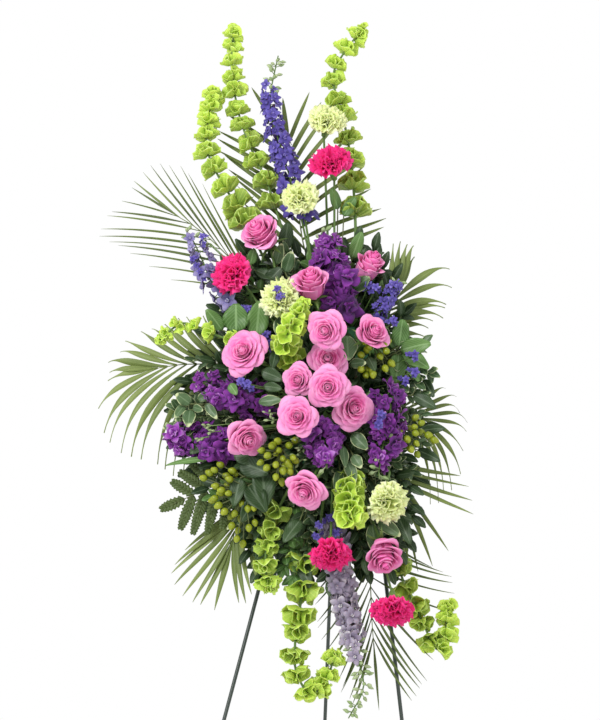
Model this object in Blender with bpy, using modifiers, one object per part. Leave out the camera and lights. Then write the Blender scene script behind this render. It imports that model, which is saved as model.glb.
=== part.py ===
"""Standing funeral spray: cut flowers and greenery in a foam brick, hung on a folding wire easel.

Metres, +Z up, front toward -Y. The lengths below are millimetres, and MM turns them into metres.
A place is (across, forward, up): across and up are X and Z measured from the floor below the
easel's top bar, and forward is the distance in front of the leaning plane of the front legs.
The origin is moved to the floor below the middle of the whole object at the end.
"""
import random
from math import atan2, cos, inf, pi, radians, sin, sqrt

import bmesh
import bpy
from mathutils import Matrix, Vector
from mathutils.bvhtree import BVHTree

MM = 0.001
GAP = 0.35                       # clearance kept between pieces that touch

# Wire easel
TOP_BAR_UP = 1350.0
TOP_BAR_HALF = 18.0
FRONT_FEET = {"left": -378.0, "right": 173.0}
FRONT_FEET_FORWARD = 280.0
BACK_FOOT = (-56.0, 450.0)
WIRE = 6.4
BACK_WIRE = 6.0
EYE_CLEARANCE = 0.6
EYE_ACROSS = -4.0
CROSSBAR_UP = (1262.0, 1100.0)   # the upper bar carries the tray, the lower one steadies it
CROSSBAR_WIRE = 5.0
BEND = 6.0                       # how far from its corners the top bar starts to bend

# Foam brick and the tray that holds it
FOAM_CENTRE = (-15.0, 52.0, 1203.0)
FOAM_SIZE = (110.0, 80.0, 230.0)
TRAY_WALL = 1.8
TRAY_DEPTH = 30.0
HOOK_WIDTH = 34.0                # the hook hangs the tray on the upper crossbar
HOOK_PLATE = 2.4
HOOK_DROP = 14.0
HOLE_DEPTH = 24.0
HOLE_ROOM = 0.5
STEM_CORE = ((0.30, 36.0), (0.25, 24.0), (0.55, 96.0))   # how far apart the stems aim in the foam

LEAN = atan2(FRONT_FEET_FORWARD, TOP_BAR_UP)
LEAN_FRAME = Matrix.Translation((0, 0, TOP_BAR_UP * MM)) @ Matrix.Rotation(-LEAN, 4, "X")
TO_LEAN_FRAME = LEAN_FRAME.inverted()
FORWARD = Vector((0, -cos(LEAN), sin(LEAN)))

# Blooms: place of the bloom's rim, the way it faces, radius, and a bend in the stem where one is needed
ROSES = [
    ((-142, 112, 1480), (-3, 2, 5), 31, (-104, 92, 1390)),
    ((-55, 175, 1400), (-1, 3, 6), 28, None),
    ((46, 112, 1428), (3, 3, 6), 24, None),
    ((50, 168, 1316), (4, 5, 1), 31, None),
    ((-32, 228, 1317), (-2, 5, -1), 34, None),
    ((-167, 172, 1284), (-2, 5, 2), 36, None),
    ((-27, 165, 1272), (0, 5, 1), 33, None),
    ((-77, 196, 1236), (-2, 5, 0), 26, None),
    ((-27, 230, 1224), (0, 6, 0), 34, None),
    ((-77, 232, 1176), (-1, 5, 0), 34, None),
    ((17, 180, 1190), (2, 5, 0), 37, None),
    ((-158, 165, 1138), (2, 5, -2), 31, None),
    ((-66, 185, 1052), (-2, 4, -4), 35, None),
    ((67, 148, 940), (-1, 3, -4), 34, None),
]
CARNATIONS = [
    ("pink", (-23, 105, 1600), (-1, 3, 4), 35, None),
    ("pink", (-188, 128, 1412), (-3, 4, 2), 34, (-124, 106, 1340)),
    ("pink", (-22, 150, 946), (0, 4, -3), 35, None),
    ("pink", (79, 130, 855), (2, 3, -3), 36, None),
    ("green", (-26, 92, 1670), (1, 3, 4), 32, None),
    ("green", (-74, 120, 1540), (-1, 4, 3), 32, None),
    ("green", (-107, 155, 1374), (-2, 4, 2), 34, None),
    ("green", (73, 150, 1034), (2, 4, -1), 35, (75, 125, 1085)),
]

# Flower spikes: places along the stem, where the flowers begin, and their sizes
BELLS = [
    ([(-88, 50, 1440), (-123, 48, 1552), (-153, 45, 1619), (-173, 42, 1673),
      (-184, 40, 1731), (-186, 38, 1773), (-183, 36, 1822)], 225, (20, 8)),
    ([(-112, 60, 1400), (-172, 55, 1515), (-205, 55, 1568), (-227, 55, 1618),
      (-226, 52, 1664), (-216, 50, 1714)], 205, (23, 15)),
    ([(18, 48, 1452), (18, 46, 1527), (12, 44, 1603), (-2, 42, 1678),
      (-18, 40, 1740), (4, 40, 1786), (34, 40, 1822)], 205, (20, 12)),
    ([(-136, 92, 1290), (-188, 112, 1302), (-229, 118, 1317), (-264, 118, 1330),
      (-294, 115, 1312), (-304, 112, 1299)], 130, (17, 12)),
    ([(-80, 120, 1262), (-98, 165, 1295), (-82, 205, 1330), (-66, 212, 1362)], 60, (19, 12)),
    ([(2, 110, 1091), (8, 140, 1053), (10, 168, 1008)], 55, (22, 20)),
    ([(-81, 75, 1072), (-111, 95, 1018), (-127, 102, 964), (-129, 100, 923),
      (-122, 96, 889)], 95, (17, 13)),
    ([(-43, 62, 1036), (-63, 80, 955), (-69, 82, 889), (-76, 80, 839), (-81, 78, 797),
      (-78, 76, 752), (-53, 76, 719), (-26, 78, 752), (-15, 80, 787)], 165, (22, 13)),
    ([(66, 58, 1003), (95, 48, 912), (113, 46, 871), (133, 45, 829), (152, 46, 790),
      (167, 48, 812), (170, 50, 863)], 175, (20, 11)),
]
SPIKES = [
    ("larkspur", [(-52, 66, 1420), (-72, 66, 1510), (-88, 66, 1568), (-104, 62, 1621),
                  (-119, 58, 1671), (-122, 54, 1709), (-116, 52, 1743), (-109, 50, 1776)], 200, (12, 5)),
    ("larkspur", [(-136, 75, 1319), (-192, 92, 1371), (-218, 92, 1398), (-233, 88, 1431),
                  (-250, 82, 1467), (-261, 80, 1482)], 155, (12, 8)),
    ("larkspur", [(-18, 75, 1029), (-15, 95, 964), (-2, 88, 889), (10, 84, 830),
                  (22, 82, 780), (32, 80, 730), (7, 78, 680)], 110, (14, 6)),
    ("larkspur", [(30, 92, 1290), (58, 118, 1348), (79, 118, 1381), (92, 112, 1401)], 70, (11, 9)),
    ("stock", [(-7, 112, 1330), (-12, 122, 1387), (-20, 120, 1425), (-36, 112, 1480)], 60, (15, 9)),
    ("stock", [(-89, 82, 1211), (-151, 108, 1203), (-201, 112, 1216), (-244, 108, 1236)], 80, (15, 9)),
    ("stock", [(-106, 62, 1149), (-188, 88, 1133), (-246, 95, 1135), (-293, 92, 1154)], 150, (15, 8)),
    ("stock", [(48, 105, 1215), (76, 130, 1198), (66, 140, 1140), (56, 135, 1078)], 45, (14, 9)),
    ("stock", [(-30, 130, 1140), (-33, 170, 1134), (-28, 182, 1090)], 50, (13, 9)),
]
BERRIES = [
    ([(-89, 62, 1111), (-147, 102, 1063), (-185, 112, 1030)], 14),
    ([(-66, 110, 1137), (-104, 160, 1119), (-108, 168, 1080)], 10),
    ([(55, 72, 1172), (92, 112, 1156), (121, 120, 1152)], 10),
    ([(30, 108, 1272), (48, 130, 1290), (68, 140, 1288)], 10),
]

# Fronds: places along the rib, where the leaflets begin, their tips down the left and the right side
# from the root outward, width, how far they bow along the rib, and length of the last one
PALMS = [
    ([(-24, 45, 1345), (-64, 20, 1450), (-76, 10, 1525), (-88, 6, 1590), (-94, 4, 1640)], 125,
     [(-165, 6, 1530), (-182, 6, 1556), (-184, 4, 1576), (-196, 4, 1598), (-210, 4, 1622),
      (-209, 2, 1640), (-208, 2, 1664), (-155, 2, 1722)],
     [(64, 14, 1487), (73, 12, 1505), (59, 10, 1522), (38, 8, 1584), (34, 6, 1602), (4, 6, 1640),
      (-14, 4, 1680), (-38, 4, 1696), (-54, 2, 1709)], 10, 0.08, 66),
    ([(-89, 50, 1319), (-164, 34, 1411), (-231, 26, 1478), (-286, 22, 1514)], 90,
     [(-290, 34, 1398), (-350, 30, 1440), (-386, 26, 1462), (-408, 24, 1480), (-392, 22, 1508),
      (-368, 20, 1536)],
     [(-236, 30, 1560), (-268, 28, 1586), (-300, 24, 1598), (-326, 20, 1592), (-348, 18, 1572)],
     9, 0.10, 80),
    ([(-89, 50, 1222), (-181, 40, 1256), (-256, 36, 1262), (-318, 34, 1254)], 95,
     [(-262, 52, 1104), (-284, 50, 1098), (-305, 46, 1108), (-328, 44, 1118), (-352, 42, 1128),
      (-376, 40, 1144), (-394, 36, 1166), (-402, 34, 1194)],
     [(-236, 34, 1352), (-262, 32, 1350), (-288, 30, 1346), (-316, 28, 1336), (-342, 28, 1322),
      (-366, 28, 1304), (-384, 28, 1284), (-392, 30, 1258)], 10, 0.25, 74),
    ([(-100, 46, 1084), (-140, 40, 1045), (-173, 38, 1005), (-186, 36, 962)], 70,
     [(-120, 46, 922), (-137, 46, 901), (-152, 44, 882), (-178, 42, 868)],
     [(-262, 38, 966), (-278, 38, 942), (-290, 36, 916), (-266, 36, 884), (-238, 36, 866)],
     11, 0.16, 106),
    ([(16, 46, 1060), (32, 40, 1005), (42, 38, 927), (46, 40, 840), (49, 42, 800)], 90,
     [(150, 46, 930), (170, 44, 914), (180, 42, 896), (190, 42, 876), (144, 42, 750), (132, 40, 736),
      (124, 40, 720), (114, 40, 708)],
     [(-50, 44, 880), (-48, 42, 850), (-44, 42, 820), (-38, 40, 790), (-20, 40, 750), (-6, 40, 732),
      (2, 40, 718), (14, 40, 706)], 9, 0.10, 112),
    ([(58, 50, 1262), (66, 44, 1302), (74, 38, 1340), (88, 34, 1376)], 62,
     [(58, 38, 1420), (76, 36, 1474), (100, 34, 1487), (112, 32, 1474)],
     [(132, 42, 1316), (145, 40, 1334), (160, 38, 1350), (168, 36, 1364), (174, 34, 1386),
      (178, 34, 1436)], 10, 0.12, 84),
    ([(50, 50, 1177), (78, 44, 1186), (104, 40, 1182), (128, 38, 1172)], 48,
     [(150, 32, 1246), (176, 32, 1236), (192, 32, 1220), (204, 34, 1200), (203, 38, 1170)],
     [(140, 44, 1066), (160, 42, 1074), (176, 42, 1084), (190, 42, 1104)], 10, 0.22, 76),
    ([(52, 50, 1122), (70, 46, 1100), (82, 42, 1080), (94, 38, 1064)], 36,
     [(196, 40, 1084), (208, 38, 1052), (214, 38, 1012)],
     [(88, 44, 935), (108, 44, 925), (130, 42, 922), (170, 40, 956)], 10, 0.08, 80),
]
FERN = ([(-80, 58, 1080), (-150, 58, 1075), (-215, 60, 1060), (-262, 60, 1040)], 75,
        [(-150, 64, 1018), (-182, 62, 1000), (-214, 60, 985), (-244, 58, 980), (-270, 56, 990)],
        [(-176, 52, 1118), (-208, 52, 1112), (-240, 52, 1100), (-268, 54, 1088), (-284, 54, 1068)],
        17, 0.10, 44)
LEAVES = [
    ([(60, 68, 1150), (66, 70, 1125), (58, 72, 1095), (34, 76, 1066)], 42,
     [(88, 88, 1128), (84, 92, 1098), (62, 94, 1064), (28, 94, 1040)],
     [(20, 96, 1140), (8, 98, 1112), (-8, 98, 1086), (-20, 92, 1062)], 20, 0.12, 40),
    ([(-89, 70, 1180), (-170, 78, 1176), (-222, 80, 1178), (-256, 78, 1172)], 90,
     [(-206, 88, 1150), (-238, 88, 1146), (-262, 86, 1148), (-284, 82, 1160)],
     [(-196, 84, 1198), (-228, 84, 1204), (-258, 82, 1204), (-280, 80, 1190)], 19, 0.12, 36),
    ([(46, 66, 1240), (76, 72, 1264), (94, 74, 1272), (104, 74, 1268)], 50,
     [(70, 80, 1306), (100, 78, 1314), (134, 76, 1300)],
     [(96, 84, 1226), (124, 84, 1228), (146, 80, 1246)], 26, 0.12, 44),
]

LAYERS = (-0.36, 0.45)          # how far neighbouring leaflets lie behind and in front of their rib

COLOURS = {
    "rose": (0.80, 0.22, 0.34),
    "pink": (0.72, 0.03, 0.16),
    "green": (0.66, 0.74, 0.36),
    "bells": (0.36, 0.62, 0.10),
    "larkspur": (0.36, 0.32, 0.72),
    "stock": (0.30, 0.05, 0.42),
    "berries": (0.62, 0.66, 0.22),
    "palm": (0.10, 0.20, 0.05),
    "fern": (0.12, 0.28, 0.06),
    "leaves": (0.34, 0.44, 0.24),
    "foam": (0.05, 0.20, 0.09),
    "tray": (0.03, 0.09, 0.05),
    "wire": (0.04, 0.06, 0.05),
}

spray = bpy.data.collections.new("standing_funeral_spray")
cutters = bpy.data.collections.new("cutters")
planted = []                     # a search tree for each finished piece
holes = []                       # (entry, heading, radius) of each stem hole


def at(place):
    """World point of a place given as across, forward and up."""
    across, forward, up = place
    along = (up - TOP_BAR_UP - forward * sin(LEAN)) / cos(LEAN)
    return Vector((across, along * sin(LEAN) - forward * cos(LEAN), up)) * MM


def clear_scene():
    for old in list(bpy.data.objects):
        bpy.data.objects.remove(old, do_unlink=True)
    for collection in (spray, cutters):
        bpy.context.scene.collection.children.link(collection)


def material(kind):
    """The one shared material of a kind of piece."""
    found = bpy.data.materials.get(kind)
    if found:
        return found
    made = bpy.data.materials.new(kind)
    made.use_nodes = True
    shader = made.node_tree.nodes["Principled BSDF"]
    shader.inputs["Base Color"].default_value = (*COLOURS[kind], 1)
    shader.inputs["Roughness"].default_value = 0.45 if kind in ("wire", "tray") else 0.6
    shader.inputs["Metallic"].default_value = 0.0
    return made


def evaluated_mesh(holder):
    """A plain mesh of an object with its modifiers applied. The object is removed."""
    graph = bpy.context.evaluated_depsgraph_get()
    mesh = bpy.data.meshes.new_from_object(holder.evaluated_get(graph))
    bpy.data.objects.remove(holder, do_unlink=True)
    return mesh


def loose_object(body):
    """An object in the scene for a bmesh or a curve that is still being worked on."""
    if isinstance(body, bmesh.types.BMesh):
        mesh = bpy.data.meshes.new("work")
        body.to_mesh(mesh)
        body.free()
        body = mesh
    holder = bpy.data.objects.new("work", body)
    bpy.context.scene.collection.objects.link(holder)
    return holder


def finish(name, mesh, kind):
    """Add a finished piece, and remember its surface so that later pieces stay clear of it."""
    mesh.name = name
    mesh.materials.clear()
    mesh.materials.append(material(kind))
    mesh.shade_smooth()
    mesh.set_sharp_from_angle(angle=radians(40))
    piece = bpy.data.objects.new(name, mesh)
    spray.objects.link(piece)
    surface = bmesh.new()
    surface.from_mesh(mesh)
    planted.append(BVHTree.FromBMesh(surface))
    surface.free()
    return piece


def inside(tree, point):
    """Whether a point lies inside a closed surface: a ray from it leaves through the skin once more
    than it comes in."""
    way = Vector((0.28, 0.51, 0.81)).normalized()
    crossings = 0
    spot = tree.ray_cast(point, way)[0]
    while spot is not None:
        crossings += 1
        spot = tree.ray_cast(spot + way * 0.01 * MM, way)[0]
    return crossings % 2 == 1


def clearance(point):
    """Distance in mm from a point to the nearest finished piece, or -1 inside one."""
    nearest = inf
    for tree in planted:
        spot, normal, _, distance = tree.find_nearest(point, 40 * MM)
        if spot is not None:
            if (point - spot).dot(normal) < 0 and inside(tree, point):
                return -1
            nearest = min(nearest, distance / MM)
    return nearest


class Route:
    """A smooth path through points, measured along its length in metres."""

    def __init__(self, points):
        ends = [2 * points[0] - points[1], *points, 2 * points[-1] - points[-2]]
        self.points = [points[0]]
        for before, start, stop, after in zip(ends, ends[1:], ends[2:], ends[3:]):
            for step in range(1, 9):
                t = step / 8
                bend_in = (stop - before) / 2
                bend_out = (after - start) / 2
                self.points.append(start * (2 * t**3 - 3 * t**2 + 1) + bend_in * (t**3 - 2 * t**2 + t)
                                   + stop * (3 * t**2 - 2 * t**3) + bend_out * (t**3 - t**2))
        self.marks = [0.0]
        for start, stop in zip(self.points, self.points[1:]):
            self.marks.append(self.marks[-1] + (stop - start).length)
        self.length = self.marks[-1]

    def point(self, distance):
        for k in range(1, len(self.marks)):
            if distance <= self.marks[k] or k == len(self.marks) - 1:
                span = self.marks[k] - self.marks[k - 1]
                share = (distance - self.marks[k - 1]) / span
                return self.points[k - 1].lerp(self.points[k], share)

    def heading(self, distance):
        step = 2 * MM
        low = max(0.0, min(distance - step, self.length - 2 * step))
        return (self.point(low + 2 * step) - self.point(low)).normalized()


def tube(points, radii, sides=4, turns=None):
    """A closed bmesh tube with 4 or 6 sides, from a bevelled poly curve. Radii are in mm."""
    curve = bpy.data.curves.new("route", "CURVE")
    curve.dimensions = "3D"
    curve.bevel_depth = MM
    curve.bevel_resolution = (sides - 4) // 2
    curve.use_fill_caps = True
    spline = curve.splines.new("POLY")
    spline.points.add(len(points) - 1)
    for k, knot in enumerate(spline.points):
        knot.co = (*points[k], 1)
        knot.radius = radii[k]
        knot.tilt = turns[k] if turns else 0
    mesh = evaluated_mesh(loose_object(curve))
    body = bmesh.new()
    body.from_mesh(mesh)
    bmesh.ops.remove_doubles(body, verts=body.verts, dist=0.01 * MM)
    bmesh.ops.recalc_face_normals(body, faces=body.faces)
    return body


def fuse(first, *others):
    """One closed mesh from closed bmeshes that overlap."""
    base = loose_object(first)
    extras = [loose_object(other) for other in others]
    for extra in extras:
        union = base.modifiers.new("fuse", "BOOLEAN")
        union.operation = "UNION"
        union.solver = "MANIFOLD"
        union.object = extra
    mesh = evaluated_mesh(base)
    for extra in extras:
        bpy.data.objects.remove(extra, do_unlink=True)
    return mesh


def clamp(value, limit):
    return max(-limit, min(limit, value))


def foam_entry(target, radius):
    """Where a stem bound for a target enters the foam, and its heading. The hole is noted."""
    centre = TO_LEAN_FRAME @ at(FOAM_CENTRE)
    half = Vector(FOAM_SIZE) * MM / 2
    goal = TO_LEAN_FRAME @ target - centre
    core = Vector([clamp(share * goal[k], room * MM) for k, (share, room) in enumerate(STEM_CORE)])
    ray = (goal - core).normalized()
    reach = min((half[k] - core[k] * (1 if ray[k] > 0 else -1)) / max(abs(ray[k]), 1e-6)
                for k in range(3))
    entry = LEAN_FRAME @ (centre + core + ray * reach)
    heading = LEAN_FRAME.to_3x3() @ ray
    holes.append((entry, heading, radius))
    return entry, heading


def stem_points(places, radius):
    """Points of a stem: the end in its hole, the mouth of the hole, and then the places."""
    entry, heading = foam_entry(places[0], radius)
    inner = entry - heading * (HOLE_DEPTH - GAP) * MM
    return [inner, entry + heading * 4 * MM, *places]


def whorled_bloom(radius, height, turns, sides, ruffle, cup, petals):
    """A bloom as one solid, facing +Z with its rim at z = 0: a petal wall that winds outward.

    The wall rises from a valley to a ridge at each step. Ruffle is how far alternate ridge
    points go in and out, cup is how much lower the outer petals stand than the inner ones,
    and petals is the number of them in a turn.
    """
    body = bmesh.new()
    steps = int(turns * sides)
    valleys = []
    ridges = []
    for k in range(steps + 1):
        t = k / steps
        angle = 2 * pi * k / sides
        lobe = cos(2 * pi * petals * k / sides)
        swing = ruffle * (1 if k % 2 else -1)
        out = radius * (0.10 + 0.70 * t)
        top = height * (0.30 - cup * t * t)
        valley = Vector((out * cos(angle), out * sin(angle), top - height * (0.20 + 0.12 * t)))
        far = out + radius * (0.13 + 0.12 * t) * (1 + 0.35 * lobe)
        ridge = Vector((far * cos(angle), far * sin(angle), top + height * 0.08 * lobe + swing))
        valleys.append(body.verts.new(valley))
        ridges.append(body.verts.new(ridge))
    base = []
    for k in range(sides):
        angle = 2 * pi * (k + steps - sides) / sides
        base.append(body.verts.new((0.74 * radius * cos(angle), 0.74 * radius * sin(angle), -0.42 * height)))
    heart = body.verts.new((0, 0, 0.34 * height))
    foot = body.verts.new((0, 0, -0.66 * height))
    for k in range(steps):
        body.faces.new((valleys[k], valleys[k + 1], ridges[k + 1], ridges[k]))
        inner = k + sides
        if inner < steps:
            body.faces.new((ridges[k], ridges[k + 1], valleys[inner + 1], valleys[inner]))
        else:
            j = k - (steps - sides)
            body.faces.new((ridges[k], ridges[k + 1], base[(j + 1) % sides], base[j]))
            body.faces.new((base[j], base[(j + 1) % sides], foot))
    body.faces.new((valleys[steps], ridges[steps], base[0], ridges[steps - sides]))
    rim = [ridges[0], *valleys[:sides + 1]]
    for start, stop in zip(rim, [*rim[1:], rim[0]]):
        body.faces.new((start, stop, heart))
    bmesh.ops.triangulate(body, faces=body.faces)
    bmesh.ops.recalc_face_normals(body, faces=body.faces)
    return body


def bloom(name, kind, body, place, way, depth, stem, via, spin):
    """Stand a bloom on a curved stem that comes out of the foam."""
    across, forward, up = way
    facing = Vector((across, -forward, up)).normalized()
    rim = at(place)
    turn = Vector((0, 0, 1)).rotation_difference(facing).to_matrix().to_4x4()
    bmesh.ops.transform(body, verts=body.verts,
                        matrix=Matrix.Translation(rim) @ turn @ Matrix.Rotation(spin, 4, "Z"))
    seat = rim - facing * depth * 0.5 * MM
    below = rim - facing * (depth + 14) * MM
    bends = [at(via)] if via else []
    first = bends[0] if bends else below
    entry, heading = foam_entry(first, stem)
    inner = entry - heading * (HOLE_DEPTH - GAP) * MM
    mouth = entry + heading * 5 * MM
    if not bends:
        bends = [mouth.lerp(below, 0.5) + heading * 0.10 * (below - mouth).length]
    points = [inner, mouth, *bends, below, seat]
    stalk = tube(points, [stem] * len(points), 6)
    return finish(name, fuse(body, stalk), kind)


def faces_round(body, point, reach):
    """Side faces of a stem whose middle lies close to a point."""
    return [face for face in body.faces if len(face.verts) == 4
            and (face.calc_center_median() - point).length < reach]


def flare(body, face, centre, facing, radius, depth, rim_points=4, notch=1.0):
    """Draw a stem face out into a cup: its mouth at a centre, facing a way, hollow to a depth."""
    grown = bmesh.ops.extrude_discrete_faces(body, faces=[face])["faces"][0]
    middle = grown.calc_center_median()
    turn = grown.normal.rotation_difference(facing).to_matrix()
    for vert in grown.verts:
        vert.co = centre + turn @ (vert.co - middle).normalized() * radius
    if rim_points == 8:
        corners = set(grown.verts)
        bmesh.ops.subdivide_edges(body, edges=grown.edges, cuts=1)
        for vert in [vert for vert in grown.verts if vert not in corners]:
            vert.co = centre + (vert.co - centre) * notch
    hub = bmesh.ops.poke(body, faces=[grown])["verts"][0]
    hub.co = centre - facing * depth


def spike_stations(route, start, sizes, pitch):
    """Distances along a stem for its flowers, and the size of each. Pitch is (fixed, per size)."""
    stations = []
    distance = start * MM
    while distance < route.length - 3 * MM:
        share = (distance - start * MM) / max(route.length - start * MM, MM)
        size = sizes[0] + (sizes[1] - sizes[0]) * share
        stations.append((distance, size))
        distance += (pitch[0] + pitch[1] * size) * MM
    return stations


def banded_stem(route, stations, radius, tip_radius, sides, turned):
    """A stem tube with a short band at each station, and the points between them."""
    half = 2.4 * MM
    marks = [0.0, (HOLE_DEPTH + 6) * MM]
    while stations[0][0] - marks[-1] > 95 * MM:
        marks.append(marks[-1] + 70 * MM)
    turns = [0.0] * len(marks)
    for k, (distance, _) in enumerate(stations):
        marks += [distance - half, distance + half]
        turns += [turned * (k % 2)] * 2
    if route.length - marks[-1] > 4 * MM:
        marks.append(route.length)
        turns.append(turns[-1])
    points = [route.point(mark) for mark in marks]
    radii = [radius + (tip_radius - radius) * mark / route.length for mark in marks]
    return tube(points, radii, sides, turns)


def clear_of_stem(route, distance, centre, size):
    """Whether a cup keeps clear of the stretches where its own stem curls back toward it."""
    return all((route.point(mark) - centre).length > 0.75 * size * MM
               for mark in route.marks if abs(mark - distance) > 1.6 * size * MM)


def bell_spike(name, places, start, sizes):
    """Bells of Ireland: whorls of four cups on a square stem."""
    route = Route(stem_points([at(place) for place in places], 3.2))
    stations = spike_stations(route, HOLE_DEPTH + start, sizes, (27, 0.85))
    body = banded_stem(route, stations, 3.2, 1.8, 4, pi / 4)
    earlier = []
    for distance, size in stations:
        hub = route.point(distance)
        heading = route.heading(distance)
        cups = []
        for face in faces_round(body, hub, 4.2 * MM):
            side = face.normal - heading * face.normal.dot(heading)
            side.normalize()
            facing = (side + 0.75 * heading).normalized()
            centre = hub + side * 0.70 * size * MM + heading * 0.38 * size * MM
            crowded = any((cup - centre).length < 1.35 * size * MM for cup in earlier)
            open_here = clear_of_stem(route, distance, centre, size) and not crowded
            if open_here and clearance(centre) > 0.58 * size:
                cups.append(centre)
                flare(body, face, centre, facing, 0.54 * size * MM, 0.42 * size * MM)
        earlier += cups
    bmesh.ops.triangulate(body, faces=body.faces)
    return finish_body(name, body, "bells")


def floret_spike(name, kind, places, start, sizes):
    """Larkspur or stock: open florets set three by three round a six-sided stem."""
    route = Route(stem_points([at(place) for place in places], 2.6))
    stations = spike_stations(route, HOLE_DEPTH + start, sizes, (12 if kind == "stock" else 20, 1.1))
    body = banded_stem(route, stations, 2.6, 1.4, 6, pi / 6)
    for k, (distance, size) in enumerate(stations):
        hub = route.point(distance)
        heading = route.heading(distance)
        ring = faces_round(body, hub, 3.4 * MM)
        ring.sort(key=lambda face: -face.normal.dot(FORWARD))
        chosen = ring[:1] + ring[3:4] if k % 2 else ring[1:3]
        for face in chosen:
            side = face.normal - heading * face.normal.dot(heading)
            side.normalize()
            facing = (side + 0.35 * heading).normalized()
            centre = hub + side * 0.80 * size * MM + heading * 0.20 * size * MM
            if clearance(centre) > 0.75 * size:
                flare(body, face, centre, facing, 0.72 * size * MM, 0.38 * size * MM, 8, 0.86)
    bmesh.ops.triangulate(body, faces=body.faces)
    return finish_body(name, body, kind)


def finish_body(name, body, kind):
    """Finish a piece from a closed bmesh."""
    bmesh.ops.recalc_face_normals(body, faces=body.faces)
    mesh = bpy.data.meshes.new(name)
    body.to_mesh(mesh)
    body.free()
    return finish(name, mesh, kind)


def berry_spray(name, places, count, rng):
    """Hypericum: a forked twig whose stalks end in berries."""
    route = Route(stem_points([at(place) for place in places], 2.4))
    start = HOLE_DEPTH + 0.35 * (route.length / MM - HOLE_DEPTH)
    rows = (count + 2) // 3
    gap = (route.length / MM - 4 - start) / rows
    stations = [((start + gap * k) * MM, 5.0) for k in range(rows)]
    body = banded_stem(route, stations, 2.4, 1.6, 4, pi / 4)
    left = count
    for distance, _ in stations:
        hub = route.point(distance)
        heading = route.heading(distance)
        ring = faces_round(body, hub, 3.4 * MM)
        ring.sort(key=lambda face: -face.normal.dot(FORWARD))
        for face in ring[:3]:
            side = face.normal - heading * face.normal.dot(heading)
            way = (side.normalized() + 0.6 * heading + 0.25 * FORWARD).normalized()
            reach = rng.uniform(13, 19)
            if left and clearance(hub + way * (reach + 5) * MM) > 6.5:
                left -= 1
                stalk_and_berry(body, face, hub, way, reach)
    bmesh.ops.triangulate(body, faces=body.faces)
    return finish_body(name, body, "berries")


def stalk_and_berry(body, face, hub, way, reach):
    """Draw a twig face out into a thin stalk with a pointed round berry on its end."""
    rings = [(reach - 3, 1.2), (reach + 2, 5.0), (reach + 7.5, 1.8)]
    turn = face.normal.rotation_difference(way).to_matrix()
    middle = face.calc_center_median()
    spokes = [turn @ (vert.co - middle).normalized() for vert in face.verts]
    for distance, radius in rings:
        face = bmesh.ops.extrude_discrete_faces(body, faces=[face])["faces"][0]
        for vert, spoke in zip(face.verts, spokes):
            vert.co = hub + way * distance * MM + spoke * radius * MM


def grow_blade(body, edge, path, widths, normal):
    """Grow a leaf from an edge along a path, ending in a point."""
    low, high = edge.verts
    for place, heading, width in zip(path[0], path[1], widths):
        grown = bmesh.ops.extrude_edge_only(body, edges=[edge])["geom"]
        fresh = [item for item in grown if isinstance(item, bmesh.types.BMVert)]
        edge = next(item for item in grown if isinstance(item, bmesh.types.BMEdge)
                    and item.verts[0] in fresh and item.verts[1] in fresh)
        fresh.sort(key=lambda vert: (vert.co - low.co).length)
        across = heading.cross(normal).normalized() * width * MM / 2
        if across.dot(low.co - high.co) < 0:
            across = -across
        fresh[0].co = place + across
        fresh[1].co = place - across
        low, high = fresh
    bmesh.ops.pointmerge(body, verts=[low, high], merge_co=(low.co + high.co) / 2)


def leaf_path(root, tip, along, bow):
    """Places and headings of a leaf: it leaves along its rib, then bends over to its tip."""
    reach = (tip - root).length
    elbow = root.lerp(tip, 0.45) + along * bow * reach
    places = []
    headings = []
    for t in (0.3, 0.62, 1.0):
        places.append(root * (1 - t) ** 2 + elbow * 2 * t * (1 - t) + tip * t * t)
        headings.append(((elbow - root) * (1 - t) + (tip - elbow) * t).normalized())
    return places, headings


def clear_path(root, tip, along, bow, width, layer, own):
    """A leaf's path in one of the frond's layers, bent back where a finished piece is in its way.

    Own holds the layer and the points of the frond's leaves so far. There is no path where even
    the most bent leaf would touch something.
    """
    for give in (0, 9, 18, 28):
        moved = tip - FORWARD * give * MM
        places, headings = leaf_path(root, moved, along, bow)
        places = [place + FORWARD * layer * MM for place in places]
        knots = [root, *places]
        samples = [start.lerp(stop, share) for start, stop in zip(knots, knots[1:])
                   for share in (0.3, 0.6, 1.0)]
        crossed = any((sample - other).length < (0.95 if layer == level else 0.30) * width * MM
                      for level, other in own for sample in samples)
        if not crossed and all(clearance(sample) > width / 2 + 1.2 for sample in samples):
            own += [(layer, sample) for sample in samples[1:]]
            return places, headings
    return None


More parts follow.
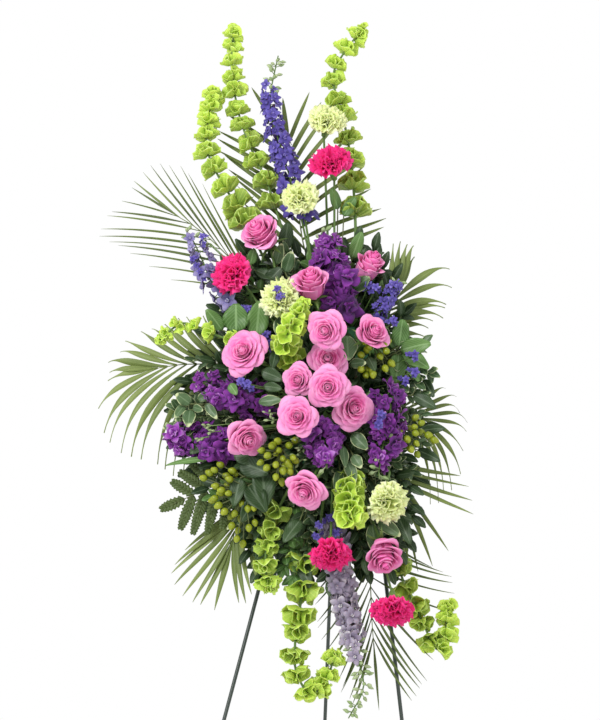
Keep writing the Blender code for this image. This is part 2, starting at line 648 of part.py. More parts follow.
def frond(name, kind, shape, profile, rib=(4.0, 2.8), blade=0.9):
    """A flat rib with leaflets down both sides. Solidify gives it its thickness.

    Profile is the width a third and two thirds of the way along a leaflet.
    """
    places, start, *sides, width, bow, tail = shape
    reach = 0.5 * sqrt(rib[0] ** 2 + rib[1] ** 2)
    route = Route(stem_points([at(place) for place in places], reach))
    begin = (HOLE_DEPTH + start) * MM
    rows = max(len(tips) for tips in sides)
    pitch = (route.length - begin) / rows
    root = min(0.45 * pitch, 6 * MM)
    marks = [0.0, (HOLE_DEPTH + 6) * MM]
    while begin - marks[-1] > 60 * MM:
        marks.append(marks[-1] + 40 * MM)
    seats = []
    for k in range(rows):
        seats.append(len(marks))
        marks += [begin + pitch * k, begin + pitch * k + root]
    body = bmesh.new()
    rails = []
    for mark in marks:
        heading = route.heading(mark)
        across = FORWARD.cross(heading).normalized() * rib[0] * MM / 2
        rails.append([body.verts.new(route.point(mark) + side) for side in (across, -across)])
    for here, there in zip(rails, rails[1:]):
        body.faces.new((here[0], here[1], there[1], there[0]))
    leaf_verts = len(body.verts)
    own = []
    for side, tips in enumerate(sides):
        for k, tip in enumerate(tips):
            seat = seats[k * rows // len(tips)]
            low = rails[seat][side]
            high = rails[seat + 1][side]
            base = (low.co + high.co) / 2
            along = route.heading(marks[seat])
            layer = LAYERS[k % 2] * width
            path = clear_path(base, at(tip), along, bow, width, layer, own)
            if path:
                widths = [width * profile[0], width * profile[1], 1.5]
                grow_blade(body, body.edges.get((low, high)), path, widths, FORWARD)
    end = body.edges.get(rails[-1])
    goal = route.point(route.length) + route.heading(route.length) * tail * MM
    stub = (rails[-1][0].co + rails[-1][1].co) / 2
    path = clear_path(stub, goal, route.heading(route.length), 0, width, 0, own)
    if path:
        grow_blade(body, end, path, [width * 0.8, width * 0.7, 1.5], FORWARD)
    bmesh.ops.recalc_face_normals(body, faces=body.faces)
    bmesh.ops.triangulate(body, faces=body.faces)
    holder = loose_object(body)
    ribs = holder.vertex_groups.new(name="rib")
    ribs.add(list(range(leaf_verts)), 1.0, "REPLACE")
    shell = holder.modifiers.new("thickness", "SOLIDIFY")
    shell.thickness = rib[1] * MM
    shell.offset = 0
    shell.vertex_group = "rib"
    shell.thickness_vertex_group = blade / rib[1]
    return finish(name, evaluated_mesh(holder), kind)


def box_body(low, high):
    """A box between two corners given in metres."""
    body = bmesh.new()
    size = high - low
    middle = (high + low) / 2
    bmesh.ops.create_cube(body, size=1, matrix=Matrix.Translation(middle) @ Matrix.Diagonal((*size, 1)))
    return body


def build_foam():
    """The foam brick. Its holes are cut when all stems are known."""
    centre = TO_LEAN_FRAME @ at(FOAM_CENTRE)
    half = Vector(FOAM_SIZE) * MM / 2
    body = box_body(centre - half, centre + half)
    bmesh.ops.transform(body, verts=body.verts, matrix=LEAN_FRAME)
    return finish_body("floral_foam", body, "foam")


def cut_stem_holes(foam):
    """Plain round holes in the foam for all stems, a little wider than each stem."""
    for k, (entry, heading, radius) in enumerate(holes):
        bore = (radius + HOLE_ROOM) / cos(pi / 5)
        over = 6
        bm = bmesh.new()
        middle = entry - heading * (HOLE_DEPTH - over) / 2 * MM
        turn = Vector((0, 0, 1)).rotation_difference(heading).to_matrix().to_4x4()
        bmesh.ops.create_cone(bm, cap_ends=True, segments=5, radius1=bore * MM, radius2=bore * MM,
                              depth=(HOLE_DEPTH + over) * MM, matrix=Matrix.Translation(middle) @ turn)
        mesh = bpy.data.meshes.new(f"stem_hole_{k + 1:02d}")
        bm.to_mesh(mesh)
        bm.free()
        cutter = bpy.data.objects.new(mesh.name, mesh)
        cutter.hide_render = True
        cutter.display_type = "WIRE"
        cutters.objects.link(cutter)
    cut = foam.modifiers.new("stem_holes", "BOOLEAN")
    cut.operation = "DIFFERENCE"
    cut.operand_type = "COLLECTION"
    cut.collection = cutters
    cut.solver = "EXACT"


def build_tray():
    """An open plastic tray behind the foam, with a lip that hangs on the upper crossbar."""
    centre = TO_LEAN_FRAME @ at(FOAM_CENTRE)
    half = Vector(FOAM_SIZE) * MM / 2
    inner = half + Vector((GAP, GAP, GAP)) * MM
    outer = inner + Vector((TRAY_WALL, 0, TRAY_WALL)) * MM
    back = centre.y + inner.y + TRAY_WALL * MM
    front = centre.y + inner.y - TRAY_DEPTH * MM
    shell = box_body(Vector((centre.x - outer.x, front, centre.z - outer.z)),
                     Vector((centre.x + outer.x, back, centre.z + outer.z)))
    pocket = box_body(Vector((centre.x - inner.x, front - 5 * MM, centre.z - inner.z)),
                      Vector((centre.x + inner.x, centre.y + inner.y, centre.z + inner.z)))
    tray = loose_object(shell)
    void = loose_object(pocket)
    cut = tray.modifiers.new("pocket", "BOOLEAN")
    cut.operation = "DIFFERENCE"
    cut.object = void
    mesh = evaluated_mesh(tray)
    bpy.data.objects.remove(void, do_unlink=True)
    open_tray = bmesh.new()
    open_tray.from_mesh(mesh)
    lip_up = (CROSSBAR_UP[0] - TOP_BAR_UP) / cos(LEAN) * MM + (CROSSBAR_WIRE / 2 + GAP) * MM
    reach = CROSSBAR_WIRE / 2 + GAP
    drop = HOOK_DROP * MM
    width = HOOK_WIDTH * MM
    plate = HOOK_PLATE * MM
    arm = box_body(Vector((centre.x - width / 2, -reach * MM - plate, lip_up)),
                   Vector((centre.x + width / 2, reach * MM + plate, lip_up + plate)))
    web = box_body(Vector((centre.x - width / 2, back - plate / 2, lip_up - drop)),
                   Vector((centre.x + width / 2, -reach * MM, lip_up + plate)))
    hook = box_body(Vector((centre.x - width / 2, reach * MM, lip_up - drop)),
                    Vector((centre.x + width / 2, reach * MM + plate, lip_up + plate / 2)))
    mesh = fuse(open_tray, arm, web, hook)
    mesh.transform(LEAN_FRAME)
    return finish("spray_tray", mesh, "tray")


def level_feet(body):
    """Trim wire ends that pass below the floor level."""
    geometry = body.verts[:] + body.edges[:] + body.faces[:]
    bmesh.ops.bisect_plane(body, geom=geometry, plane_co=(0, 0, 0), plane_no=(0, 0, -1), clear_outer=True)
    bmesh.ops.holes_fill(body, edges=[edge for edge in body.edges if edge.is_boundary])
    return body


def build_front_frame():
    """Two front legs bent from one wire, with two crossbars welded between them."""
    feet = []
    for side, sign in (("left", -1), ("right", 1)):
        top = Vector((sign * TOP_BAR_HALF, 0, TOP_BAR_UP)) * MM
        foot = Vector((FRONT_FEET[side], -FRONT_FEET_FORWARD, 0)) * MM
        feet.append((top, foot, (foot - top).normalized()))
    bend = BEND * MM
    points = []
    for (top, foot, down), sign in zip(feet, (-1, 1)):
        corner = [foot + down * 10 * MM, top + down * bend,
                  top + down * bend * 0.3 - Vector((sign, 0, 0)) * bend * 0.3,
                  top - Vector((sign, 0, 0)) * bend]
        points += corner if sign < 0 else corner[::-1]
    body = level_feet(tube(points, [WIRE / 2] * len(points), 8))
    bars = []
    for up in CROSSBAR_UP:
        ends = [top.lerp(foot, (TOP_BAR_UP - up) / TOP_BAR_UP) for top, foot, _ in feet]
        bars.append(tube(ends, [CROSSBAR_WIRE / 2] * 2, 8))
    return finish("easel_front_frame", fuse(body, *bars), "wire")


def build_back_leg():
    """The back leg, with an eye bent round the top bar that it hinges on."""
    hinge = Vector((EYE_ACROSS, 0, TOP_BAR_UP)) * MM
    foot = Vector((BACK_FOOT[0], BACK_FOOT[1], 0)) * MM
    ring = (WIRE / 2 + EYE_CLEARANCE + BACK_WIRE / 2) * MM
    down = (foot - hinge).normalized()
    slope = atan2(down.z, down.y)
    last = slope + pi / 2
    points = []
    for k in range(11):
        angle = last + radians(250) * (1 - k / 10)
        points.append(hinge + Vector((0, cos(angle), sin(angle))) * ring)
    points.append(foot + down * 12 * MM)
    body = level_feet(tube(points, [BACK_WIRE / 2] * len(points), 8))
    return finish_body("easel_back_leg", body, "wire")


def build_blooms(rng):
    for k, (place, way, radius, via) in enumerate(ROSES):
        body = whorled_bloom(radius * MM, 1.25 * radius * MM, 3.3, 8, 0, 0.16, 2.4)
        bloom(f"rose_{k + 1:02d}", "rose", body, place, way, 0.8 * radius, 2.8, via, rng.uniform(0, 6))
    for k, (kind, place, way, radius, via) in enumerate(CARNATIONS):
        body = whorled_bloom(radius * MM, 1.0 * radius * MM, 3.0, 9, 1.6 * MM, 0.30, 3.4)
        bloom(f"carnation_{k + 1}_{kind}", kind, body, place, way, 0.65 * radius, 2.6, via,
              rng.uniform(0, 6))


def hinge_leg(leg):
    """Hang the back leg on an empty that stands on the axis it folds about."""
    pivot = bpy.data.objects.new("back_leg_hinge", None)
    pivot.location = Vector((EYE_ACROSS, 0, TOP_BAR_UP)) * MM
    bpy.context.scene.collection.objects.link(pivot)
    leg.parent = pivot
    leg.location = -pivot.location
    return pivot


def centre_origin(hinge):
    """Hang every piece on an empty that puts the origin on the floor below the middle."""
    low = Vector((inf, inf, inf))
    high = -low
    graph = bpy.context.evaluated_depsgraph_get()
    for piece in spray.objects:
        shape = piece.evaluated_get(graph)
        for vert in shape.data.vertices:
            spot = shape.matrix_world @ vert.co
            low = Vector(map(min, low, spot))
            high = Vector(map(max, high, spot))
    root = bpy.data.objects.new("spray_origin", None)
    root.location = (-(low.x + high.x) / 2, -(low.y + high.y) / 2, -low.z)
    bpy.context.scene.collection.objects.link(root)
    for piece in [*spray.objects, *cutters.objects, hinge]:
        if piece.parent is None:
            piece.parent = root


def main():
    rng = random.Random(12)
    clear_scene()
    build_front_frame()
    hinge = hinge_leg(build_back_leg())
    build_tray()
    foam = build_foam()
    build_blooms(rng)
    for k, (places, start, sizes) in enumerate(BELLS):
        bell_spike(f"bells_of_ireland_{k + 1}", places, start, sizes)
    for kind in ("larkspur", "stock"):
        shapes = [shape for label, *shape in SPIKES if label == kind]
        for k, shape in enumerate(shapes):
            floret_spike(f"{kind}_{k + 1}", kind, *shape)
    for k, (places, count) in enumerate(BERRIES):
        berry_spray(f"hypericum_{k + 1}", places, count, rng)
    for k, shape in enumerate(PALMS):
        frond(f"palm_frond_{k + 1}", "palm", shape, (0.65, 1.0))
    frond("leatherleaf_fern", "fern", FERN, (1.0, 0.7))
    for k, shape in enumerate(LEAVES):
        frond(f"pittosporum_{k + 1}", "leaves", shape, (1.0, 0.95))
    cut_stem_holes(foam)
    centre_origin(hinge)


main()
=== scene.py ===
# %% [markdown]
# Standing funeral spray on a folding wire easel.
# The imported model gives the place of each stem, bloom and frond as a plain solid. This lesson
# grows the real petals, cups, berries and leaves over those solids, so that each one sits where
# the solid sits and moves with the same body.

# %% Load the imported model
import random
from math import atan2, cos, pi, radians, sin

import bmesh
import bpy
from mathutils import Matrix, Vector


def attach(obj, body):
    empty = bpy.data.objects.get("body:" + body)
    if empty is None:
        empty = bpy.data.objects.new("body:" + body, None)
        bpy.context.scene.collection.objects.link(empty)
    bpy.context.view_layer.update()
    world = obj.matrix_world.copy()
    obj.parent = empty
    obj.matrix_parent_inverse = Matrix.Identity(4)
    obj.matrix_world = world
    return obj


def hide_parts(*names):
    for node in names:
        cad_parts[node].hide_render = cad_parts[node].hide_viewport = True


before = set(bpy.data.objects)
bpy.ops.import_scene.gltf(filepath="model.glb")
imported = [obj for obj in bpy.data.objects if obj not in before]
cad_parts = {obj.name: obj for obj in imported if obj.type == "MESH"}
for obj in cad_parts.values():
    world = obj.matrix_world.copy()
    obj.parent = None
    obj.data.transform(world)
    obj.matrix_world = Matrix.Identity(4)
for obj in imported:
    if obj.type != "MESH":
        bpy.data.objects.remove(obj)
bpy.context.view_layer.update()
SPRAY = "front_frame_with_spray"
BACK_LEG = "back_leg"

# %% [markdown]
# A place on the spray is written as (across, forward, up) in millimetres. Across and up are
# measured from the floor below the easel's top bar, and forward is the distance in front of the
# leaning plane of the front legs. That way a flower can be set by how far it stands out of the
# foam, and the lean of the whole easel comes in only once, in the function at().

# %% Places on the leaning spray
MM = 0.001
ORIGIN = Vector((97.001, -81.331, 0.0)) * MM
TOP_BAR_UP = 1350.0
FRONT_FEET_FORWARD = 280.0
LEAN = atan2(FRONT_FEET_FORWARD, TOP_BAR_UP)
LEAN_FRAME = (Matrix.Translation(ORIGIN + Vector((0, 0, TOP_BAR_UP * MM)))
              @ Matrix.Rotation(-LEAN, 4, "X"))
FORWARD = Vector((0, -cos(LEAN), sin(LEAN)))
STEP = 1.65                      # millimetres in one step of the picture's grid
PICTURE = (600, 720)
MIDDLE = (344, 1129)             # the picture's column of the top bar and row of the floor


def at(place):
    """World point of a place given as across, forward and up."""
    across, forward, up = place
    along = (up - TOP_BAR_UP - forward * sin(LEAN)) / cos(LEAN)
    return ORIGIN + Vector((across, along * sin(LEAN) - forward * cos(LEAN), up)) * MM


def seen(column, row, forward):
    """World point that shows at a column and row of the picture."""
    return at(((column - MIDDLE[0]) * STEP, forward, (MIDDLE[1] - row) * STEP))


print("lean", round(LEAN * 180 / pi, 2), "degrees")

# %% [markdown]
# Every stem is a smooth line that starts in its hole in the foam. A spline through a few places
# is enough to describe it: the class below keeps points along the line and their distances, so
# that flowers can be set at even steps along it.

# %% Smooth stems out of the foam
FOAM_CENTRE = (-15.0, 52.0, 1203.0)
FOAM_SIZE = (110.0, 80.0, 230.0)
HOLE_DEPTH = 24.0
STEM_CORE = ((0.30, 36.0), (0.25, 24.0), (0.55, 96.0))


class Route:
    """A smooth path through points, measured along its length in metres."""

    def __init__(self, points):
        ends = [2 * points[0] - points[1], *points, 2 * points[-1] - points[-2]]
        self.points = [points[0]]
        for before, start, stop, after in zip(ends, ends[1:], ends[2:], ends[3:]):
            for step in range(1, 9):
                t = step / 8
                bend_in = (stop - before) / 2
                bend_out = (after - start) / 2
                self.points.append(start * (2 * t**3 - 3 * t**2 + 1) + bend_in * (t**3 - 2 * t**2 + t)
                                   + stop * (3 * t**2 - 2 * t**3) + bend_out * (t**3 - t**2))
        self.marks = [0.0]
        for start, stop in zip(self.points, self.points[1:]):
            self.marks.append(self.marks[-1] + (stop - start).length)
        self.length = self.marks[-1]

    def point(self, distance):
        for k in range(1, len(self.marks)):
            if distance <= self.marks[k] or k == len(self.marks) - 1:
                span = self.marks[k] - self.marks[k - 1]
                return self.points[k - 1].lerp(self.points[k], (distance - self.marks[k - 1]) / span)

    def heading(self, distance):
        step = 2 * MM
        low = max(0.0, min(distance - step, self.length - 2 * step))
        return (self.point(low + 2 * step) - self.point(low)).normalized()


def clamp(value, limit):
    return max(-limit, min(limit, value))


def foam_entry(target):
    """Where a stem bound for a target enters the foam, and its heading there."""
    to_foam = LEAN_FRAME.inverted()
    centre = to_foam @ at(FOAM_CENTRE)
    half = Vector(FOAM_SIZE) * MM / 2
    goal = to_foam @ target - centre
    core = Vector([clamp(share * goal[k], room * MM) for k, (share, room) in enumerate(STEM_CORE)])
    ray = (goal - core).normalized()
    reach = min((half[k] - core[k] * (1 if ray[k] > 0 else -1)) / max(abs(ray[k]), 1e-6)
                for k in range(3))
    return LEAN_FRAME @ (centre + core + ray * reach), LEAN_FRAME.to_3x3() @ ray


def stem_route(places):
    """The route of a stem: the end in its hole, the mouth of the hole, and then the places."""
    entry, heading = foam_entry(places[0])
    return Route([entry - heading * (HOLE_DEPTH - 0.35) * MM, entry + heading * 4 * MM, *places])


# %% [markdown]
# A few tools make almost everything here. stalk() draws a ring of edges through points into a
# round stem, and stem() does so all along a route. sheet() lays a small grid, moves each of its
# points to where a petal or a leaf has it, and writes down where on the petal the point lies, so
# that a material can colour the edge or the base. petal() and blade() bend such a sheet.

# %% Tools for stems, petals and leaves
GROWTH = "growth"                # attribute: across -1 to 1, along 0 to 1, tone 0 to 1


def new_body():
    body = bmesh.new()
    body.verts.layers.float_vector.new(GROWTH)
    return body


def next_ring(body, edges):
    """Extrude a ring of edges. Gives back the new points and the new ring."""
    grown = bmesh.ops.extrude_edge_only(body, edges=edges)["geom"]
    fresh = [item for item in grown if isinstance(item, bmesh.types.BMVert)]
    held = set(fresh)
    return fresh, [item for item in grown if isinstance(item, bmesh.types.BMEdge)
                   and item.verts[0] in held and item.verts[1] in held]


def stalk(body, points, radii, sides=8, tone=0.5):
    """A closed round stem through points, one radius in metres for each."""
    layer = body.verts.layers.float_vector[GROWTH]
    across = Vector((0.31, 0.87, 0.38))
    places = []
    for k, point in enumerate(points):
        heading = (points[min(k + 1, len(points) - 1)] - points[max(k - 1, 0)]).normalized()
        across = (across - heading * across.dot(heading)).normalized()
        turn = Matrix((across, heading.cross(across), heading)).transposed().to_4x4()
        places.append(Matrix.Translation(point) @ turn @ Matrix.Scale(radii[k], 4))
    every = list(bmesh.ops.create_circle(body, cap_ends=True, segments=sides, radius=1,
                                         matrix=places[0])["verts"])
    edges = list({edge for vert in every for edge in vert.link_edges})
    for before, here in zip(places, places[1:]):
        fresh, edges = next_ring(body, edges)
        bmesh.ops.transform(body, verts=fresh, matrix=here @ before.inverted())
        every += fresh
    bmesh.ops.contextual_create(body, geom=edges)
    faces = list({face for vert in every for face in vert.link_faces})
    bmesh.ops.recalc_face_normals(body, faces=faces)
    for vert in every:
        vert[layer] = (0, 0.5, tone)
    for face in faces:
        face.smooth = True


def stem(body, route, steps, thick, taper=0.0, sides=6, tone=0.5):
    """A stem all along a route: its radius at the foot in millimetres, and how much that loses."""
    stalk(body, [route.point(route.length * j / steps) for j in range(steps + 1)],
          [(thick - taper * j / steps) * MM for j in range(steps + 1)], sides, tone)


def sheet(body, across, along, place, tone=0.5):
    """A grid whose points go where place(u, v) says: u is -1 to 1 across, v is 0 to 1 along."""
    layer = body.verts.layers.float_vector[GROWTH]
    made = bmesh.ops.create_grid(body, x_segments=across, y_segments=along, size=1)["verts"]
    for vert in made:
        u = vert.co.x
        v = (vert.co.y + 1) / 2
        vert.co = place(u, v)
        vert[layer] = (u, v, tone)
    for face in {face for vert in made for face in vert.link_faces}:
        face.smooth = True


def petal(body, base, axis, outward, length, width, bend, outline, cup=0.0, ruffle=0.0, waves=2.5,
          phase=0.0, notch=0.0, cells=(4, 4), tone=0.5):
    """A petal that leaves its base at one angle from the flower's axis and ends at another.

    Bend is the two angles in radians, outline gives the share of the full width at v, cup lifts
    the sides, and ruffle waves the far edge.
    """
    side = axis.cross(outward).normalized()
    steps = cells[1]
    spine = [base.copy()]
    faces_in = []
    for k in range(steps + 1):
        angle = bend[0] + (bend[1] - bend[0]) * k / steps
        faces_in.append(axis * sin(angle) - outward * cos(angle))
        if k < steps:
            middle = bend[0] + (bend[1] - bend[0]) * (k + 0.5) / steps
            spine.append(spine[-1] + (axis * cos(middle) + outward * sin(middle)) * length / steps)

    def place(u, v):
        reach = v * (1 - 0.16 * u * u - notch * (1 + cos(waves * 2 * pi * u + phase)) * v)
        k = min(int(reach * steps), steps - 1)
        share = reach * steps - k
        middle = spine[k].lerp(spine[k + 1], share)
        up = faces_in[k].lerp(faces_in[k + 1], share)
        lift = cup * u * u * width * v + ruffle * v * v * sin(waves * pi * u + phase)
        return middle + side * u * 0.5 * width * outline(v) + up * lift

    sheet(body, *cells, place, tone)


def blade(body, root, tip, along, bow, width, outline, facing, roll=0.0, fold=0.0, wave=0.0,
          droop=0.0, cells=(2, 8), tone=0.5):
    """A leaf from its root to its tip. It leaves along its twig and then bends over."""
    reach = (tip - root).length
    elbow = root.lerp(tip, 0.45) + along * bow * reach

    def place(u, v):
        middle = root * (1 - v) ** 2 + elbow * 2 * v * (1 - v) + tip * v * v
        heading = ((elbow - root) * (1 - v) + (tip - elbow) * v).normalized()
        sideways = heading.cross(facing).normalized()
        up = sideways.cross(heading)
        spread = sideways * cos(roll) + up * sin(roll)
        rise = up * cos(roll) - sideways * sin(roll)
        half = 0.5 * width * outline(v)
        middle = middle + Vector((0, 0, -droop * v ** 5 * reach))
        return middle + spread * u * half + rise * (fold * abs(u) * half + wave * half * u * sin(9 * v))

    sheet(body, *cells, place, tone)


def turned(facing, spin=0.0):
    """A rotation that turns +Z to a way of facing."""
    return (Vector((0, 0, 1)).rotation_difference(facing).to_matrix().to_4x4()
            @ Matrix.Rotation(spin, 4, "Z"))


# %% [markdown]
# A finished piece rides on its CAD body and stands for the plain solid that it covers. Petals
# and leaves are drawn as open sheets, because that is how they grow, and a Solidify modifier
# then gives each one the thickness of the real thing and closes its edge.

# %% Finishing a piece
PETAL = 0.45 * MM
pieces_made = {}


def as_mesh(name, body):
    mesh = bpy.data.meshes.new(name)
    body.to_mesh(mesh)
    body.free()
    return mesh


def finish_piece(name, body, skin, thickness=0.0, nodes=(), on=SPRAY):
    mesh = as_mesh(name, body)
    mesh.materials.append(skin)
    piece = bpy.data.objects.new(name, mesh)
    bpy.context.scene.collection.objects.link(piece)
    if thickness:
        shell = piece.modifiers.new("thickness", "SOLIDIFY")
        shell.thickness = thickness
        shell.offset = 0
    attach(piece, on)
    if nodes:
        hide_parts(*nodes)
    pieces_made[name] = len(mesh.polygons)


# %% [markdown]
# A material is a small network of nodes. The class below adds them one at a time: an input that
# is given as another node's output is linked, and any other value is set on the input itself.

# %% How a material is put together
class Skin:
    """A material in the making."""

    def __init__(self, name):
        self.material = bpy.data.materials.new(name)
        self.material.use_nodes = True
        self.tree = self.material.node_tree

    def fill(self, node, inputs):
        for socket, value in inputs.items():
            if isinstance(value, bpy.types.NodeSocket):
                self.tree.links.new(value, node.inputs[socket])
            else:
                node.inputs[socket].default_value = value
        return node

    def add(self, kind, inputs, **settings):
        node = self.tree.nodes.new("ShaderNode" + kind)
        for setting, value in settings.items():
            setattr(node, setting, value)
        return self.fill(node, inputs)

    def math(self, operation, *values):
        return self.add("Math", dict(enumerate(values)), operation=operation).outputs[0]

    def mix(self, share, first, second):
        return self.add("Mix", {"Factor": share, "A": first, "B": second},
                        data_type="RGBA").outputs["Result"]

    def noise(self, grain, detail):
        coords = self.add("TexCoord", {}).outputs["Object"]
        return self.add("TexNoise", {"Vector": coords, "Scale": grain, "Detail": detail}).outputs["Fac"]

    def finish(self, colour, height, bump, depth, roughness, **others):
        """Plug in the colour and a relief, depth in millimetres, and set the rest of the shader."""
        relief = self.add("Bump", {"Strength": bump, "Distance": depth * MM, "Height": height})
        self.fill(self.tree.nodes["Principled BSDF"],
                  {"Base Color": colour, "Normal": relief.outputs["Normal"], "Roughness": roughness})
        self.fill(self.tree.nodes["Principled BSDF"],
                  {label.replace("_", " "): value for label, value in others.items()})
        return self.material


# %% [markdown]
# Plant materials share one recipe. Colour runs from base to edge by the growth attribute, darker at
# the base, each petal has its own tone, and a fine noise breaks it up, as cells and veins do. The
# darker base is partly the plant's own colour and partly painted shade deep in a bloom or a cup.
# Only the colours, the gloss and the strength of the pattern differ from one flower to the next.

# %% One recipe for petals and leaves
def plant_skin(name, stops, roughness=0.6, sheen=0.0, soft=0.0, veins=0.0, tone_share=0.55,
               edge=None, grain=60.0, bump=0.25, edge_start=0.72):
    """Stops are colours from the base or heart out to the edge. Edge is a border's colour: a real border on
    the variegated leaves, a painted highlight along the rose's rims.
    """
    skin = Skin(name)
    math = skin.math
    where = skin.add("Attribute", {}, attribute_name=GROWTH)
    across, along, tone = skin.add("SeparateXYZ", {0: where.outputs["Vector"]}).outputs
    across = math("ABSOLUTE", across)
    speckle = skin.noise(grain, 4.0)
    # The ramp's input: each petal's tone plus its place from base to edge, so the base is painted darker,
    # partly as painted shade.
    shade = math("MULTIPLY_ADD", tone, tone_share, math("MULTIPLY", along, 1 - tone_share))
    ramp = skin.add("ValToRGB", {"Fac": math("MULTIPLY_ADD", speckle, 0.30, math("SUBTRACT", shade, 0.15))})
    marks = ramp.color_ramp.elements
    marks.remove(marks[1])
    for k, stop in enumerate(stops):
        spot = k / (len(stops) - 1)
        mark = marks.new(spot) if k else marks[0]
        mark.position = spot
        mark.color = (*stop, 1)
    colour = ramp.outputs["Color"]
    if veins:
        spread = math("MULTIPLY_ADD", across, 0.45, along)
        wave = math("SINE", math("MULTIPLY", spread, 46.0))
        ribs = math("MULTIPLY", math("GREATER_THAN", wave, 0.86), veins)
        midrib = math("MULTIPLY", math("LESS_THAN", across, 0.10), veins * 1.6)
        paler = (*[min(1, c * 1.5 + 0.10) for c in stops[-1]], 1)
        colour = skin.mix(math("MAXIMUM", ribs, midrib), colour, paler)
    # A border colour along the rim: on the variegated leaves their own cream border, on the roses a painted
    # highlight.
    if edge:
        far = math("SUBTRACT", math("MAXIMUM", across, along), 0.25)
        border = skin.add("MapRange", {"From Min": edge_start, "From Max": edge_start + 0.12,
                                       "Value": math("MULTIPLY_ADD", speckle, 0.5, far)},
                          interpolation_type="SMOOTHSTEP")
        colour = skin.mix(border.outputs["Result"], colour, (*edge, 1))
    return skin.finish(colour, skin.noise(grain * 9, 3.0), bump, 0.4, roughness, Specular_IOR_Level=0.3,
                       Sheen_Weight=sheen, Subsurface_Weight=soft, Subsurface_Scale=1.0,
                       Subsurface_Radius=(0.004, 0.002, 0.0015))


# Rose colours: deep at the heart, partly painted shade there, paler outward, with a painted highlight along
# the rims.
rose_skin = plant_skin(
    "rose_petals", [(0.24, 0.002, 0.070), (0.48, 0.016, 0.165), (0.66, 0.072, 0.290),
    (0.73, 0.130, 0.380), (0.77, 0.22, 0.48), (0.81, 0.37, 0.60)],
    roughness=0.6, sheen=0.12, soft=0.10, edge=(0.81, 0.29, 0.52), edge_start=0.92,
    tone_share=0.58)
# Hot pink: deep at the base and on the inner petals, partly painted shade in the dome, and a pale top stop
# that is partly painted highlight.
pink_skin = plant_skin(
    "hot_pink_petals", [(0.24, 0.001, 0.03), (0.50, 0.001, 0.075), (0.68, 0.003, 0.135),
    (0.76, 0.016, 0.20), (0.82, 0.14, 0.36)],
    roughness=0.7, sheen=0.1, soft=0.1, tone_share=0.45)
green_skin = plant_skin(
    "pale_green_petals", [(0.38, 0.47, 0.10), (0.58, 0.66, 0.21), (0.73, 0.78, 0.38),
    (0.83, 0.86, 0.58)], roughness=0.7, sheen=0.1, soft=0.12)
bell_skin = plant_skin(
    "bell_cups", [(0.085, 0.155, 0.020), (0.20, 0.31, 0.036), (0.36, 0.52, 0.062),
    (0.52, 0.70, 0.090)],
    roughness=0.5, soft=0.14, veins=0.14, edge=(0.54, 0.70, 0.20), edge_start=0.93,
    tone_share=0.7)
larkspur_skin = plant_skin(
    "larkspur_petals", [(0.020, 0.012, 0.095), (0.052, 0.034, 0.22), (0.10, 0.075, 0.35),
    (0.24, 0.20, 0.52)], roughness=0.65, sheen=0.1, soft=0.08)
lilac_skin = plant_skin(
    "lilac_petals", [(0.060, 0.048, 0.16), (0.13, 0.11, 0.27), (0.25, 0.22, 0.41),
    (0.47, 0.45, 0.60)], roughness=0.65, sheen=0.1, soft=0.08)
grey_skin = plant_skin(
    "grey_lilac_petals", [(0.085, 0.062, 0.10), (0.18, 0.15, 0.22), (0.33, 0.29, 0.37),
    (0.60, 0.58, 0.58)], roughness=0.65, sheen=0.1, soft=0.08)
stock_skin = plant_skin(
    "stock_petals", [(0.014, 0.001, 0.024), (0.042, 0.003, 0.072), (0.11, 0.009, 0.165),
    (0.22, 0.030, 0.30), (0.46, 0.22, 0.54)],
    roughness=0.7, sheen=0.15, soft=0.08, tone_share=0.5)
bud_skin = plant_skin(
    "pale_buds", [(0.10, 0.17, 0.05), (0.20, 0.29, 0.11), (0.40, 0.47, 0.27)],
    roughness=0.55, soft=0.08, tone_share=0.8)
# Berry colours: darker at the stalk end, paler toward the tip, painted shade and painted light on the two
# sides of each berry.
berry_skin = plant_skin(
    "berry_skin", [(0.10, 0.135, 0.006), (0.19, 0.235, 0.011), (0.31, 0.35, 0.024)],
    roughness=0.28, soft=0.1, grain=90, bump=0.1)
palm_skin = plant_skin(
    "palm_leaf", [(0.026, 0.044, 0.008), (0.092, 0.134, 0.026), (0.195, 0.250, 0.066)],
    roughness=0.5, veins=0.10, tone_share=0.75)
fern_skin = plant_skin(
    "fern_leaf", [(0.034, 0.056, 0.014), (0.062, 0.094, 0.024), (0.10, 0.140, 0.042)],
    roughness=0.5, tone_share=0.8)
cream_leaf = plant_skin(
    "variegated_leaf", [(0.022, 0.052, 0.018), (0.048, 0.098, 0.034), (0.095, 0.160, 0.064)],
    roughness=0.40, veins=0.2, edge=(0.48, 0.54, 0.29), edge_start=0.87, tone_share=0.7)
# Broad leaves: a very dark green, partly the leaf's own colour and partly painted shade for the depth of the
# foliage mass.
broad_leaf = plant_skin(
    "broad_leaf", [(0.008, 0.020, 0.006), (0.018, 0.042, 0.012), (0.044, 0.084, 0.026)],
    roughness=0.45, veins=0.25, tone_share=0.75)
bright_leaf = plant_skin(
    "bright_leaf", [(0.036, 0.092, 0.020), (0.070, 0.155, 0.034), (0.12, 0.225, 0.060)],
    roughness=0.42, veins=0.3, tone_share=0.75)
stem_skin = plant_skin(
    "green_stem", [(0.045, 0.09, 0.02), (0.10, 0.18, 0.04), (0.17, 0.27, 0.07)],
    roughness=0.5)
wood_skin = plant_skin(
    "twig", [(0.05, 0.06, 0.02), (0.10, 0.12, 0.04), (0.16, 0.17, 0.07)], roughness=0.6)
print("plant materials", len(bpy.data.materials))

# %% [markdown]
# A garden rose is a spiral. Each petal starts a golden angle after the last one, wraps a good
# part of the way round, and stands a little further out and lower, and the outermost ones roll
# their lips back. One number, openness, turns the same spiral into a tight bud or a full bloom.

# %% Grow a rose
GOLDEN = radians(137.5)
ROSE_BASE = -0.72                # where the petals start below the rim, in radii
rng = random.Random(5)


def smooth(value):
    value = max(0.0, min(1.0, value))
    return value * value * (3 - 2 * value)


